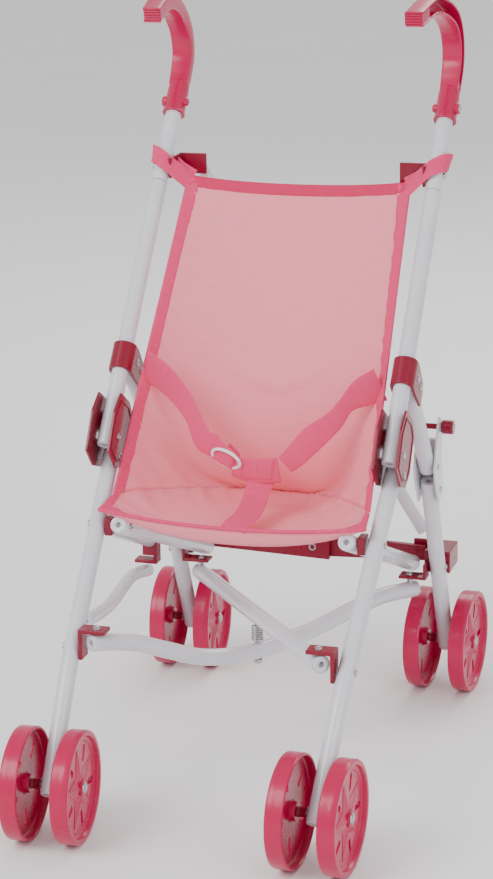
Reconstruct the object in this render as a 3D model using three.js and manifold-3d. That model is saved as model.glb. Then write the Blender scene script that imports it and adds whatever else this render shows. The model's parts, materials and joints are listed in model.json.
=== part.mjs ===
// Doll stroller with a folding tube frame, eight wheels and a fabric sling seat.
// Millimetres, +Z up, +Y to the rear, origin on the floor under the middle of the wheelbase.
import * as THREE from 'three';
import { mergeVertices } from 'three/addons/utils/BufferGeometryUtils.js';
import Module from 'manifold-3d';

const wasm = await Module();
wasm.setup();

// ---- Driving dimensions ----
const wheelBase = 354;
const frontTrack = 194;          // between the lower ends of the front legs
const pushTrack = 217;           // between the push tubes, and between the rear legs
const wheelRadius = 40.5;
const wheelWidth = 13;
const wheelPairGap = 37;         // between the middles of the two wheels of a pair
const wheelToe = 2.8;            // degrees that each wheel pair turns in towards the front
const tubeRadius = 6.35;
const tubeWall = 0.9;
const sheetWall = 1.6;           // pressed sheet brackets
const axleRadius = 2.4;
const runningGap = 0.3;          // between pieces that turn on each other
const seatGap = 0.3;             // between pieces that rest on each other
const seatWidthTop = 176;
const seatWidthBottom = 194;
const fabricThickness = 2;
const handleWidth = 15;
const handleThickness = 12;

// ---- Places in the side view, [y, z] ----
const frontAxle = new THREE.Vector2(-wheelBase / 2, wheelRadius);
const rearAxle = new THREE.Vector2(wheelBase / 2, wheelRadius);
const legKnee = frontAxle.clone().add(new THREE.Vector2(52, 66.5));
const legTop = legKnee.clone().add(new THREE.Vector2(131.6, 131.6));
const pushDirection = new THREE.Vector2(0.631, 0.776).normalize();
const pushRearward = new THREE.Vector2(pushDirection.y, -pushDirection.x);
const pushBottom = legTop.clone().add(new THREE.Vector2(-20.5, 3.3));
const alongPush = (up, back) => pushBottom.clone()
  .addScaledVector(pushDirection, up).addScaledVector(pushRearward, back);

const foldPivot = alongPush(8, 0);         // push tube on the front leg
const pushSeam = 223;                      // lower push tube's length
const handleSeat = 284;                    // where the handle's sleeve starts, along the push tube
const clampMiddle = 72.6;                  // upper clamp, along the push tube
const strutPivot = alongPush(clampMiddle - 1.4, 20.5);
const latchPivot = rearAxle.clone().add(new THREE.Vector2(-70, 165.5));
const rearDirection = latchPivot.clone().sub(rearAxle).normalize();
const rearRearward = new THREE.Vector2(rearDirection.y, -rearDirection.x);
const alongRear = (up, back) => latchPivot.clone()
  .addScaledVector(rearDirection, up).addScaledVector(rearRearward, back);
const linkFront = legTop.clone().add(new THREE.Vector2(-48.6, -48.6));
const linkRear = alongRear(-100, 0);

const halfPush = pushTrack / 2;
const linkX = halfPush - 22.5;             // middle of the side link
const legX = (z) => frontTrack / 2
  + (halfPush - frontTrack / 2) * (z - frontAxle.y) / (legTop.y - frontAxle.y);

// ---- Colours ----
const paint = (color, roughness, metalness) =>
  new THREE.MeshStandardMaterial({ color, roughness, metalness });
const finish = {
  tube: () => paint(0xe9e9ee, 0.3, 0.1),
  bracket: () => paint(0xa51a46, 0.4, 0),
  plastic: () => paint(0xdb3a72, 0.35, 0),
  steel: () => paint(0xb8bcc2, 0.25, 1),
  fabric: () => paint(0xfcb8c0, 0.9, 0),
  webbing: () => paint(0xf06496, 0.8, 0),
  ring: () => paint(0xf4f4f4, 0.4, 0),
};

const stroller = new THREE.Group();
stroller.name = 'doll_stroller';

// ---- Helpers ----
function place(name, geometry, material, position = new THREE.Vector3(), quaternion = null) {
  const mesh = new THREE.Mesh(facingOut(geometry), material);
  mesh.name = name;
  mesh.position.copy(position);
  if (quaternion) {
    mesh.quaternion.copy(quaternion);
  }
  stroller.add(mesh);
  return mesh;
}

// Turns a closed surface's faces outwards, whichever way round its points were given.
function facingOut(geometry) {
  const points = geometry.attributes.position;
  const index = geometry.index ? [...geometry.index.array]
    : Array.from({ length: points.count }, (_, i) => i);
  const corner = (i) => new THREE.Vector3().fromBufferAttribute(points, index[i]);
  let volume = 0;
  for (let i = 0; i < index.length; i += 3) {
    volume += corner(i).dot(corner(i + 1).cross(corner(i + 2)));
  }
  if (volume < 0) {
    for (let i = 0; i < index.length; i += 3) {
      [index[i + 1], index[i + 2]] = [index[i + 2], index[i + 1]];
    }
    geometry.setIndex(index);
  }
  return geometry;
}

// A point of the side view at the distance x from the middle plane.
const at = (x, p) => new THREE.Vector3(x, p.x, p.y);
const nameOf = (side) => (side > 0 ? 'right' : 'left');

// Local x and y become the world's Y and Z, and local z becomes X.
const sideTurn = new THREE.Quaternion().setFromRotationMatrix(new THREE.Matrix4().makeBasis(
  new THREE.Vector3(0, 1, 0), new THREE.Vector3(0, 0, 1), new THREE.Vector3(1, 0, 0)));
const turnTo = (direction) => new THREE.Quaternion().setFromUnitVectors(
  new THREE.Vector3(0, 0, 1), direction.clone().normalize());

function ringShape(outer, inner, sides = 12) {
  const circle = (r, n) => Array.from({ length: n }, (_, i) => new THREE.Vector2(
    r * Math.cos(2 * Math.PI * i / n), r * Math.sin(2 * Math.PI * i / n)));
  const shape = new THREE.Shape(circle(outer, sides));
  if (inner > 0) {
    shape.holes.push(new THREE.Path(circle(inner, 8)));
  }
  return shape;
}

// A straight hollow tube from a to b.
function straightTube(a, b, outer = tubeRadius, inner = tubeRadius - tubeWall) {
  const geometry = new THREE.ExtrudeGeometry(ringShape(outer, inner),
    { depth: a.distanceTo(b), bevelEnabled: false, steps: 1 });
  geometry.applyQuaternion(turnTo(b.clone().sub(a)));
  geometry.translate(a.x, a.y, a.z);
  return geometry;
}

function bentTube(points, steps, outer = tubeRadius, inner = tubeRadius - tubeWall) {
  const path = new THREE.CatmullRomCurve3(points, false, 'centripetal');
  return new THREE.ExtrudeGeometry(ringShape(outer, inner),
    { extrudePath: path, steps, bevelEnabled: false });
}

// A plate cut in the side view, from x0 to x1.
function sidePlate(points, x0, x1) {
  const geometry = new THREE.ExtrudeGeometry(new THREE.Shape(points),
    { depth: Math.abs(x1 - x0), bevelEnabled: false });
  geometry.applyQuaternion(sideTurn);
  geometry.translate(Math.min(x0, x1), 0, 0);
  return geometry;
}

function box(x0, x1, y0, y1, z0, z1) {
  const geometry = new THREE.BoxGeometry(Math.abs(x1 - x0), Math.abs(y1 - y0), Math.abs(z1 - z0));
  geometry.translate((x0 + x1) / 2, (y0 + y1) / 2, (z0 + z1) / 2);
  return geometry;
}

// A rod between two points, with round ends cut square.
function rod(a, b, radius, sides = 12) {
  const geometry = new THREE.CylinderGeometry(radius, radius, a.distanceTo(b), sides);
  geometry.applyQuaternion(new THREE.Quaternion().setFromUnitVectors(
    new THREE.Vector3(0, 1, 0), b.clone().sub(a).normalize()));
  const middle = a.clone().add(b).multiplyScalar(0.5);
  geometry.translate(middle.x, middle.y, middle.z);
  return geometry;
}

function toSolid(geometry) {
  const turned = facingOut(geometry.clone());
  let plain = turned.index ? turned.toNonIndexed() : turned;
  plain.deleteAttribute('normal');
  plain.deleteAttribute('uv');
  plain = mergeVertices(plain, 1e-4);
  return new wasm.Manifold(new wasm.Mesh({
    numProp: 3,
    vertProperties: new Float32Array(plain.attributes.position.array),
    triVerts: new Uint32Array(plain.index.array),
  }));
}

function toGeometry(solid) {
  const mesh = solid.getMesh();
  const geometry = new THREE.BufferGeometry();
  geometry.setAttribute('position', new THREE.BufferAttribute(mesh.vertProperties, 3));
  geometry.setIndex(new THREE.BufferAttribute(mesh.triVerts, 1));
  geometry.computeVertexNormals();
  return geometry;
}

const cut = (body, ...tools) => toGeometry(
  tools.reduce((solid, tool) => solid.subtract(toSolid(tool)), toSolid(body)));
const join = (...bodies) => toGeometry(
  bodies.slice(1).reduce((solid, body) => solid.add(toSolid(body)), toSolid(bodies[0])));

// A sheet of even thickness through a grid of points, rows by columns.
function sheet(rows, thickness) {
  const n = rows.length;
  const m = rows[0].length;
  const positions = [];
  const normalAt = (i, j) => {
    const u = rows[Math.min(i + 1, n - 1)][j].clone().sub(rows[Math.max(i - 1, 0)][j]);
    const v = rows[i][Math.min(j + 1, m - 1)].clone().sub(rows[i][Math.max(j - 1, 0)]);
    return u.cross(v).normalize();
  };
  for (const offset of [thickness / 2, -thickness / 2]) {
    for (let i = 0; i < n; i += 1) {
      for (let j = 0; j < m; j += 1) {
        const p = rows[i][j].clone().addScaledVector(normalAt(i, j), offset);
        positions.push(p.x, p.y, p.z);
      }
    }
  }
  const index = [];
  const id = (layer, i, j) => layer * n * m + i * m + j;
  const quad = (a, b, c, d) => index.push(a, b, c, a, c, d);
  for (let i = 0; i < n - 1; i += 1) {
    for (let j = 0; j < m - 1; j += 1) {
      quad(id(0, i, j), id(0, i + 1, j), id(0, i + 1, j + 1), id(0, i, j + 1));
      quad(id(1, i, j), id(1, i, j + 1), id(1, i + 1, j + 1), id(1, i + 1, j));
    }
  }
  for (let i = 0; i < n - 1; i += 1) {
    quad(id(0, i, 0), id(1, i, 0), id(1, i + 1, 0), id(0, i + 1, 0));
    quad(id(0, i + 1, m - 1), id(1, i + 1, m - 1), id(1, i, m - 1), id(0, i, m - 1));
  }
  for (let j = 0; j < m - 1; j += 1) {
    quad(id(0, 0, j + 1), id(1, 0, j + 1), id(1, 0, j), id(0, 0, j));
    quad(id(0, n - 1, j), id(1, n - 1, j), id(1, n - 1, j + 1), id(0, n - 1, j + 1));
  }
  const geometry = new THREE.BufferGeometry();
  geometry.setAttribute('position', new THREE.Float32BufferAttribute(positions, 3));
  geometry.setIndex(index);
  geometry.computeVertexNormals();
  return geometry;
}

// A flat strap through points, whose width runs along the given direction.
const strap = (points, width, across, thickness) => sheet(points.map((p) => [-0.5, 0.5].map(
  (w) => p.clone().addScaledVector(across.clone().normalize(), w * width))), thickness);

// ---- Wheels ----
const wheelHubRadius = 8;
const wheelRim = 2.2;
const wheelDisc = 2.4;
const wheelBore = axleRadius + runningGap;

// Outline of a wheel, round its own axle along +Y, with the disc near the outer face.
function wheelOutline() {
  const half = wheelWidth / 2;
  const rimInside = wheelRadius - wheelRim;
  return [
    [wheelBore, -half + 2], [wheelHubRadius, -half + 2], [wheelHubRadius, 0],
    [rimInside, 0], [rimInside, -half], [wheelRadius - 0.8, -half],
    [wheelRadius, -half + 1.2], [wheelRadius, half - 1.2], [wheelRadius - 0.8, half],
    [rimInside - 1.5, half], [rimInside - 1.5, wheelDisc], [wheelHubRadius, wheelDisc],
    [wheelHubRadius - 1, half - 1], [wheelBore, half - 1], [wheelBore, -half + 2],
  ].map(([r, h]) => new THREE.Vector2(r, h));
}

function axleDirection(side) {
  const toe = THREE.MathUtils.degToRad(wheelToe);
  return new THREE.Vector3(side * Math.cos(toe), -Math.sin(toe), 0);
}

function buildWheels(side, end, axle, x) {
  const direction = axleDirection(side);
  const middle = at(side * x, axle);
  const axleHalf = wheelPairGap / 2 + wheelWidth / 2 + 1;
  place(`${end}_axle_${nameOf(side)}`, rod(
    middle.clone().addScaledVector(direction, -axleHalf),
    middle.clone().addScaledVector(direction, axleHalf), axleRadius), finish.steel());
  for (const [position, sign] of [['outer', 1], ['inner', -1]]) {
    const turn = new THREE.Quaternion().setFromUnitVectors(
      new THREE.Vector3(0, 1, 0), direction.clone().multiplyScalar(sign));
    place(`${end}_${position}_wheel_${nameOf(side)}`,
      new THREE.LatheGeometry(wheelOutline(), 24), finish.plastic(),
      middle.clone().addScaledVector(direction, sign * wheelPairGap / 2), turn);
  }
}

const axleBore = (side, axle, x) => rod(
  at(side * x, axle).addScaledVector(axleDirection(side), -30),
  at(side * x, axle).addScaledVector(axleDirection(side), 30), axleRadius + seatGap);

// ---- Legs ----
const legOverrun = 8;            // leg below its axle

function buildFrontLeg(side) {
  const foot = legKnee.clone().sub(frontAxle).normalize();
  const end = frontAxle.clone().addScaledVector(foot, -legOverrun);
  const points = [end, frontAxle.clone().lerp(legKnee, 0.45), legKnee,
    legKnee.clone().lerp(legTop, 0.35), legKnee.clone().lerp(legTop, 0.7), legTop]
    .map((p) => at(side * legX(p.y), p));
  place(`front_leg_${nameOf(side)}`,
    cut(bentTube(points, 14), axleBore(side, frontAxle, frontTrack / 2)), finish.tube());
}

const rearLegTop = -14;          // below the latch pivot, along the rear leg

function buildRearLeg(side) {
  const end = rearAxle.clone().addScaledVector(rearDirection, -legOverrun);
  place(`rear_leg_${nameOf(side)}`,
    cut(straightTube(at(side * halfPush, end), at(side * halfPush, alongRear(rearLegTop, 0))),
      axleBore(side, rearAxle, halfPush)), finish.tube());
}

// ---- Push tube, handle tube and handle ----
const plugClearance = 0.6;
const plugRadius = tubeRadius - tubeWall - plugClearance;
const plugLength = 18;
const handleTubeEnd = 306;

function buildPushTube(side) {
  place(`push_tube_${nameOf(side)}`, straightTube(
    at(side * halfPush, alongPush(0, 0)), at(side * halfPush, alongPush(pushSeam, 0))),
  finish.tube());
  const inner = plugRadius - tubeWall;
  const start = pushSeam + seatGap;
  const outline = [[inner, -plugLength], [plugRadius, -plugLength], [plugRadius, 0],
    [tubeRadius, 0], [tubeRadius, handleTubeEnd - start], [inner, handleTubeEnd - start],
    [inner, -plugLength]].map(([r, h]) => new THREE.Vector2(r, h));
  place(`handle_tube_${nameOf(side)}`, new THREE.LatheGeometry(outline, 12), finish.tube(),
    at(side * halfPush, alongPush(start, 0)), new THREE.Quaternion().setFromUnitVectors(
      new THREE.Vector3(0, 1, 0), at(0, pushDirection)));
}

// The hook's middle line, as steps from the top of the handle tube.
const hookSteps = [
  [0, 0], [7, 10], [13.5, 24], [10, 42], [-4, 57], [-26, 67], [-52, 71], [-84, 65],
];
const hookLean = 8;              // the hook's tip is this much nearer the middle plane
const sleeveRadius = tubeRadius + seatGap + 1.8;

function buildHandle(side) {
  const top = alongPush(handleTubeEnd + 3, 0);
  const reach = hookSteps[hookSteps.length - 1][0];
  const points = hookSteps.map(([y, z]) => new THREE.Vector3(
    side * (halfPush - hookLean * Math.min(0, y) / reach), top.x + y, top.y + z));
  const curve = new THREE.CatmullRomCurve3(points, false, 'centripetal');
  const half = handleWidth / 2;
  const deep = handleThickness / 2;
  const bevel = 2;
  const section = [[-half, bevel - deep], [bevel - half, -deep], [half - bevel, -deep],
    [half, bevel - deep], [half, deep - bevel], [half - bevel, deep], [bevel - half, deep],
    [-half, deep - bevel]];
  const rings = curve.getPoints(22).map((p, i, all) => {
    const next = all[Math.min(i + 1, all.length - 1)];
    const last = all[Math.max(i - 1, 0)];
    const forward = next.clone().sub(last).normalize();
    const out = new THREE.Vector3(1, 0, 0).cross(forward).normalize();
    return section.map(([x, d]) => p.clone().add(new THREE.Vector3(x, 0, 0))
      .addScaledVector(out, d));
  });
  const hook = loft(rings);
  const sleeve = cut(rod(at(side * halfPush, alongPush(handleSeat, 0)),
    at(side * halfPush, alongPush(handleTubeEnd + 8, 0)), sleeveRadius, 16),
  rod(at(side * halfPush, alongPush(handleSeat - 1, 0)),
    at(side * halfPush, alongPush(handleTubeEnd + seatGap, 0)), tubeRadius + seatGap, 16));
  place(`handle_${nameOf(side)}`, join(sleeve, hook), finish.plastic());
}

// A closed body through rings of points that all have the same number of corners.
function loft(rings) {
  const n = rings.length;
  const m = rings[0].length;
  const positions = rings.flat().flatMap((p) => [p.x, p.y, p.z]);
  const index = [];
  for (let i = 0; i < n - 1; i += 1) {
    for (let j = 0; j < m; j += 1) {
      const a = i * m + j;
      const b = i * m + (j + 1) % m;
      index.push(a, b, b + m, a, b + m, a + m);
    }
  }
  for (let j = 1; j < m - 1; j += 1) {
    index.push(0, j + 1, j);
    index.push((n - 1) * m, (n - 1) * m + j, (n - 1) * m + j + 1);
  }
  const geometry = new THREE.BufferGeometry();
  geometry.setAttribute('position', new THREE.Float32BufferAttribute(positions, 3));
  geometry.setIndex(index);
  return geometry;
}

// ---- Hinge channel between the front leg and the push tube ----
const plateIn = tubeRadius + 0.65;         // bracket's inner face from the tube's middle
const plateOut = plateIn + sheetWall;
const channelIn = plateIn + 0.8;           // the leaning front leg needs a little more room
const channelOut = channelIn + sheetWall;
const channelOutline = [
  [-10, -14], [-14, 6], [-9, 20], [4, 26], [34, 21.5], [40, 8], [38, -12], [20, -18],
];

function buildHingeChannel(side) {
  const outline = channelOutline.map(([up, back]) => alongPush(up, back));
  const web = [[22, 19.5], [36, 19.5], [34, 21.5], [22, 23.5]]
    .map(([up, back]) => alongPush(up, back));
  const x = side * halfPush;
  place(`hinge_channel_${nameOf(side)}`, join(
    sidePlate(outline, x + channelIn, x + channelOut),
    sidePlate(outline, x - channelOut, x - channelIn),
    sidePlate(web, x - channelOut, x + channelOut)), finish.bracket());
}

// ---- Upper clamp and strut ----
const clampOutline = [
  [-10, -8.8], [10, -8.8], [10, 7], [6, 24], [-4, 29], [-15, 27], [-14, 14], [-10, 8],
];

function buildUpperClamp(side) {
  const x = side * halfPush;
  const outline = clampOutline.map(([up, back]) => alongPush(clampMiddle + up, back));
  const half = plateOut + 0.6;
  const slot = [[-30, 9.6], [30, 9.6], [30, 40], [-30, 40]]
    .map(([up, back]) => alongPush(clampMiddle + up, back));
  place(`upper_clamp_${nameOf(side)}`, cut(
    sidePlate(outline, x - half, x + half),
    rod(at(x, alongPush(clampMiddle - 20, 0)), at(x, alongPush(clampMiddle + 20, 0)),
      tubeRadius + seatGap, 16),
    sidePlate(slot, x - plateIn, x + plateIn)), finish.bracket());
}

const strutOverrun = 4;

function buildStrut(side) {
  const x = side * halfPush;
  const direction = strutPivot.clone().sub(latchPivot).normalize();
  place(`lock_strut_${nameOf(side)}`, straightTube(
    at(x, latchPivot.clone().addScaledVector(direction, -strutOverrun)),
    at(x, strutPivot.clone().addScaledVector(direction, strutOverrun))), finish.tube());
}

// ---- Latch bracket and lock pin on the rear leg ----
const latchOutline = [
  [-30, -7.5], [-30, 9.8], [-4, 13], [12, 20], [24, 27], [32, 21], [27, 12], [4, -9.5], [-8, -10.5],
];
const lockPinPlace = [24, 19.5];
const lockPinRadius = 2.2;
const knobRadius = 5.5;
const knobLength = 9;

function buildLatch(side) {
  const x = side * halfPush;
  const outline = latchOutline.map(([up, back]) => alongRear(up, back));
  const web = [[-30, 7.6], [-30, 9.8], [-4, 13], [12, 20], [12, 17.5], [-4, 10.6]]
    .map(([up, back]) => alongRear(up, back));
  const pin = alongRear(...lockPinPlace);
  const body = join(
    sidePlate(outline, x + plateIn, x + plateOut),
    sidePlate(outline, x - plateOut, x - plateIn),
    sidePlate(web, x - plateOut, x + plateOut));
  place(`latch_bracket_${nameOf(side)}`,
    cut(body, rod(at(x - 20, pin), at(x + 20, pin), lockPinRadius + runningGap)), finish.tube());
  const inner = -plateOut - 2;
  const knob = plateOut + 1.5;
  const profile = [[0, inner], [lockPinRadius, inner], [lockPinRadius, knob], [knobRadius, knob],
    [knobRadius, knob + knobLength], [0, knob + knobLength]].map(([r, h]) => new THREE.Vector2(r, h));
  place(`lock_pin_${nameOf(side)}`, new THREE.LatheGeometry(profile, 16), finish.bracket(),
    at(x, pin), new THREE.Quaternion().setFromUnitVectors(
      new THREE.Vector3(0, 1, 0), new THREE.Vector3(side, 0, 0)));
}

// ---- Side link and its spacer ----
const linkOverrun = 11;
const spacerSize = 13;

function buildSideLink(side) {
  const direction = linkRear.clone().sub(linkFront).normalize();
  const ends = [linkFront.clone().addScaledVector(direction, -linkOverrun),
    linkRear.clone().addScaledVector(direction, linkOverrun)];
  place(`side_link_${nameOf(side)}`,
    straightTube(...ends.map((p) => at(side * linkX, p))), finish.tube());
  const inner = linkX + tubeRadius + seatGap;
  const outer = legX(linkFront.y - spacerSize / 2) - tubeRadius - seatGap - 0.2;
  place(`link_spacer_${nameOf(side)}`, box(side * inner, side * outer,
    linkFront.x - spacerSize / 2, linkFront.x + spacerSize / 2,
    linkFront.y - spacerSize / 2, linkFront.y + spacerSize / 2), finish.bracket());
}

// ---- Lower cross braces and their L brackets ----
const braceFront = frontAxle.clone().add(new THREE.Vector2(63, 84.9));
const braceRear = alongRear(-118.2, -12);
const braceFrontX = frontTrack / 2 - 15;
const braceRearX = halfPush - 21.5;
const braceOverrun = 6;
const braceDip = 28;             // lower brace's drop at the crossing
const frontBracketThickness = 3;
const rearBracketThickness = 2.4;          // thinner, to pass under the side link
const bracketDepth = 13;
const bracketReach = 8;          // arm past the brace's pivot
const frontBracketGap = 1.4;     // between a brace's sloping end and its bracket's arm
const rearBracketGap = 4.1;      // the rear end rises towards its arm as the stroller folds

const braceEnd = (side, front) => at(side * (front ? braceFrontX : braceRearX),
  front ? braceFront : braceRear);

function lBracket(side, x, middle, wallX, rise, gap, thickness) {
  const z0 = middle.y + tubeRadius + gap;
  const y0 = middle.x - bracketDepth / 2;
  const y1 = middle.x + bracketDepth / 2;
  return join(
    box(side * (x - bracketReach), side * wallX, y0, y1, z0, z0 + thickness),
    box(side * (wallX - thickness), side * wallX, y0, y1,
      Math.min(z0, z0 + rise), Math.max(z0 + thickness, z0 + rise)));
}

function buildLowerBraces() {
  const leftFront = braceEnd(-1, true);
  const rightRear = braceEnd(1, false);
  const rightFront = braceEnd(1, true);
  const leftRear = braceEnd(-1, false);
  const along = (a, b, t, drop = 0) => a.clone().lerp(b, t).add(new THREE.Vector3(0, 0, -drop));
  const reach = (a, b) => a.clone().sub(b).normalize().multiplyScalar(braceOverrun);
  const wave = [[0.1, 0.16], [0.2, 0.52], [0.3, 0.88], [0.4, 1.02], [0.5, 1], [0.6, 0.84],
    [0.7, 0.6], [0.8, 0.3], [0.9, 0.06]];
  const points = [leftFront.clone().add(reach(leftFront, rightRear)), leftFront,
    ...wave.map(([t, share]) => along(leftFront, rightRear, t, share * braceDip)),
    rightRear, rightRear.clone().add(reach(rightRear, leftFront))];
  const crossing = along(leftFront, rightRear, braceFrontX / (braceFrontX + braceRearX), 0);
  const boltRadius = 2;
  const boltTop = crossing.z - tubeRadius - 1;
  const boltBottom = crossing.z - braceDip - tubeRadius - 4;
  const bolt = rod(new THREE.Vector3(crossing.x, crossing.y, boltBottom),
    new THREE.Vector3(crossing.x, crossing.y, boltTop), boltRadius);
  const bore = rod(new THREE.Vector3(crossing.x, crossing.y, boltBottom - 10),
    new THREE.Vector3(crossing.x, crossing.y, boltTop), boltRadius + seatGap);
  place('lower_brace_bent', cut(bentTube(points, 30), bore), finish.tube());
  place('lower_brace_straight', straightTube(
    rightFront.clone().add(reach(rightFront, leftRear)),
    leftRear.clone().add(reach(leftRear, rightFront))), finish.tube());
  place('centre_bolt', bolt, finish.steel());
  const springBottom = crossing.z - braceDip + tubeRadius + 1.4;
  const springTop = crossing.z - tubeRadius - 1.4;
  const wire = 0.6;
  const coilRadius = 4.2;
  const turns = 4;
  const coil = Array.from({ length: turns * 10 + 1 }, (_, i) => new THREE.Vector3(
    crossing.x + coilRadius * Math.cos(2 * Math.PI * i / 10),
    crossing.y + coilRadius * Math.sin(2 * Math.PI * i / 10),
    springBottom + (springTop - springBottom) * i / (turns * 10)));
  place('bolt_spring', new THREE.ExtrudeGeometry(ringShape(wire, 0, 6), {
    extrudePath: new THREE.CatmullRomCurve3(coil), steps: turns * 10, bevelEnabled: false }),
  finish.steel());
}

function buildBraceBrackets(side) {
  const frontWall = legX(braceFront.y) - tubeRadius - 1;
  place(`front_bracket_${nameOf(side)}`,
    lBracket(side, braceFrontX, braceFront, frontWall, -20, frontBracketGap, frontBracketThickness),
    finish.bracket());
  const rearWall = halfPush - tubeRadius - 1;
  place(`rear_bracket_${nameOf(side)}`,
    lBracket(side, braceRearX, braceRear, rearWall, 13, rearBracketGap, rearBracketThickness),
    finish.bracket());
}

// ---- Folding crossbar behind the rear legs ----
const crossbarHeight = 20;
const crossbarZ = 113;
const crossbarY = rearAxle.x - 10;         // front face of the front half
const crossbarDepth = 5;
const crossbarLap = 14;
const crossbarPivotX = halfPush - 20;
const crossbarWall = 1.5;

// One half, a channel open to the front, tapering towards its pivot.
function crossbarHalf(side, y0) {
  const tip = -side * crossbarLap;
  const end = side * (crossbarPivotX + 4);
  const outline = [[tip, -crossbarHeight / 2], [end, -crossbarHeight / 2 + 4],
    [end, crossbarHeight / 2 - 4], [tip, crossbarHeight / 2]];
  const shape = new THREE.Shape(outline.map(([x, z]) => new THREE.Vector2(x, z)));
  const inset = crossbarWall;
  const inner = [[tip + side * inset, -crossbarHeight / 2 + inset],
    [end - side * inset, -crossbarHeight / 2 + 4 + inset],
    [end - side * inset, crossbarHeight / 2 - 4 - inset],
    [tip + side * inset, crossbarHeight / 2 - inset]];
  const body = new THREE.ExtrudeGeometry(shape, { depth: crossbarDepth, bevelEnabled: false });
  const hollow = new THREE.ExtrudeGeometry(
    new THREE.Shape(inner.map(([x, z]) => new THREE.Vector2(x, z))),
    { depth: crossbarDepth, bevelEnabled: false });
  hollow.translate(0, 0, -crossbarWall);
  const geometry = cut(body, hollow);
  geometry.rotateX(Math.PI / 2);
  geometry.translate(0, y0 + crossbarDepth, crossbarZ);
  return geometry;
}

function buildCrossbar() {
  place('crossbar_left', crossbarHalf(-1, crossbarY), finish.bracket());
  place('crossbar_right', crossbarHalf(1, crossbarY + crossbarDepth + runningGap), finish.bracket());
}

// The clip on each rear leg that the crossbar half turns on.
function buildCrossbarClip(side) {
  const legY = rearAxle.x + (crossbarZ - rearAxle.y) * (latchPivot.x - rearAxle.x)
    / (latchPivot.y - rearAxle.y);
  const z0 = crossbarZ - 8;
  const z1 = crossbarZ + 10;                 // the rear braces' ends come down over it when folded
  const ear = crossbarY + 2 * crossbarDepth + 1.2;
  const back = ear + 3;
  const outer = halfPush + tubeRadius + 2.5;
  const inner = crossbarPivotX + 8;          // the crossbar's corners swing past it
  const body = join(box(side * inner, side * outer, legY + 4, back, z0, z1),
    box(side * (crossbarPivotX - 7), side * (inner + 1), ear, back, z0, z1));
  const leg = rod(at(side * halfPush, alongRear(-200, 0)), at(side * halfPush, alongRear(0, 0)),
    tubeRadius + seatGap, 16);
  place(`crossbar_clip_${nameOf(side)}`, cut(body, leg), finish.bracket());
}

// ---- Rear cross braces behind the backrest ----
const rearBraceTop = 237;                  // along the push tube
const rearBraceTopX = halfPush - 21.5;
const rearBraceBottomX = halfPush - 14.5;
const rearBraceY = { right: 13, left: 26 };    // behind the push tube, for the brace that starts there

function rearBraceEnds(side) {
  const top = alongPush(rearBraceTop, 0);
  const y = top.x + rearBraceY[nameOf(side)];
  return [new THREE.Vector3(side * rearBraceTopX, y, top.y),
    new THREE.Vector3(-side * rearBraceBottomX, y, crossbarZ + 22)];
}

function buildRearBrace(side) {
  const [top, bottom] = rearBraceEnds(side);
  const direction = bottom.clone().sub(top).normalize();
  place(`rear_brace_${nameOf(side)}`, straightTube(
    top.clone().addScaledVector(direction, -4), bottom.clone(), 5, 5 - tubeWall), finish.tube());
  const tube = alongPush(rearBraceTop, 0);
  const plate = top.y - 5 - seatGap;
  const wall = halfPush - tubeRadius - 0.7;
  place(`brace_bracket_${nameOf(side)}`, join(
    box(side * (wall - 2), side * wall, tube.x - 7, plate, tube.y - 8, tube.y + 8),
    box(side * (rearBraceTopX - 8), side * wall, plate - 2, plate, tube.y - 8, tube.y + 8)),
  finish.bracket());
}

// ---- Fabric sling ----
const slingTop = alongPush(233, 6);
const slingLow = foldPivot.clone().add(new THREE.Vector2(-20, -38));
const slingCorner = linkFront.clone().add(new THREE.Vector2(-12, 15));
const slingSeam = new THREE.Vector2(slingLow.x + 92, slingLow.y - 14);
const slingFrontDrop = 7;

function slingBack() {
  const rowCount = 16;
  const columnCount = 12;
  const rows = [];
  for (let i = 0; i <= rowCount; i += 1) {
    const t = i / rowCount;
    const edge = slingTop.clone().lerp(slingLow, t);
    const middle = new THREE.QuadraticBezierCurve(
      slingTop.clone().add(new THREE.Vector2(-4, -4)),
      slingTop.clone().lerp(slingLow, 0.78).add(new THREE.Vector2(18, -24)), slingSeam).getPoint(t);
    const half = THREE.MathUtils.lerp(seatWidthTop, seatWidthBottom, t) / 2;
    rows.push(Array.from({ length: columnCount + 1 }, (_, j) => {
      const s = 2 * j / columnCount - 1;
      const p = edge.clone().lerp(middle, 1 - Math.abs(s) ** 2.4);
      return at(s * half, p);
    }));
  }
  return rows;
}

function slingPan() {
  const seam = slingBack().pop();
  const rowCount = 6;
  return Array.from({ length: rowCount + 1 }, (_, i) => seam.map((p, j) => {
    const s = 2 * j / (seam.length - 1) - 1;
    const front = at(s * (seatWidthBottom / 2 + 2), slingCorner);
    front.z -= slingFrontDrop * (1 - s * s);
    const start = p.clone().add(new THREE.Vector3(0, -2, -fabricThickness - 1.5));
    return start.lerp(front, i / rowCount);
  }));
}

// ---- Harness ----
const webbingWidth = 19;
const webbingThickness = 1.6;
const ringPlace = new THREE.Vector3(-24, slingSeam.x - 42, slingSeam.y + 40);

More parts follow.
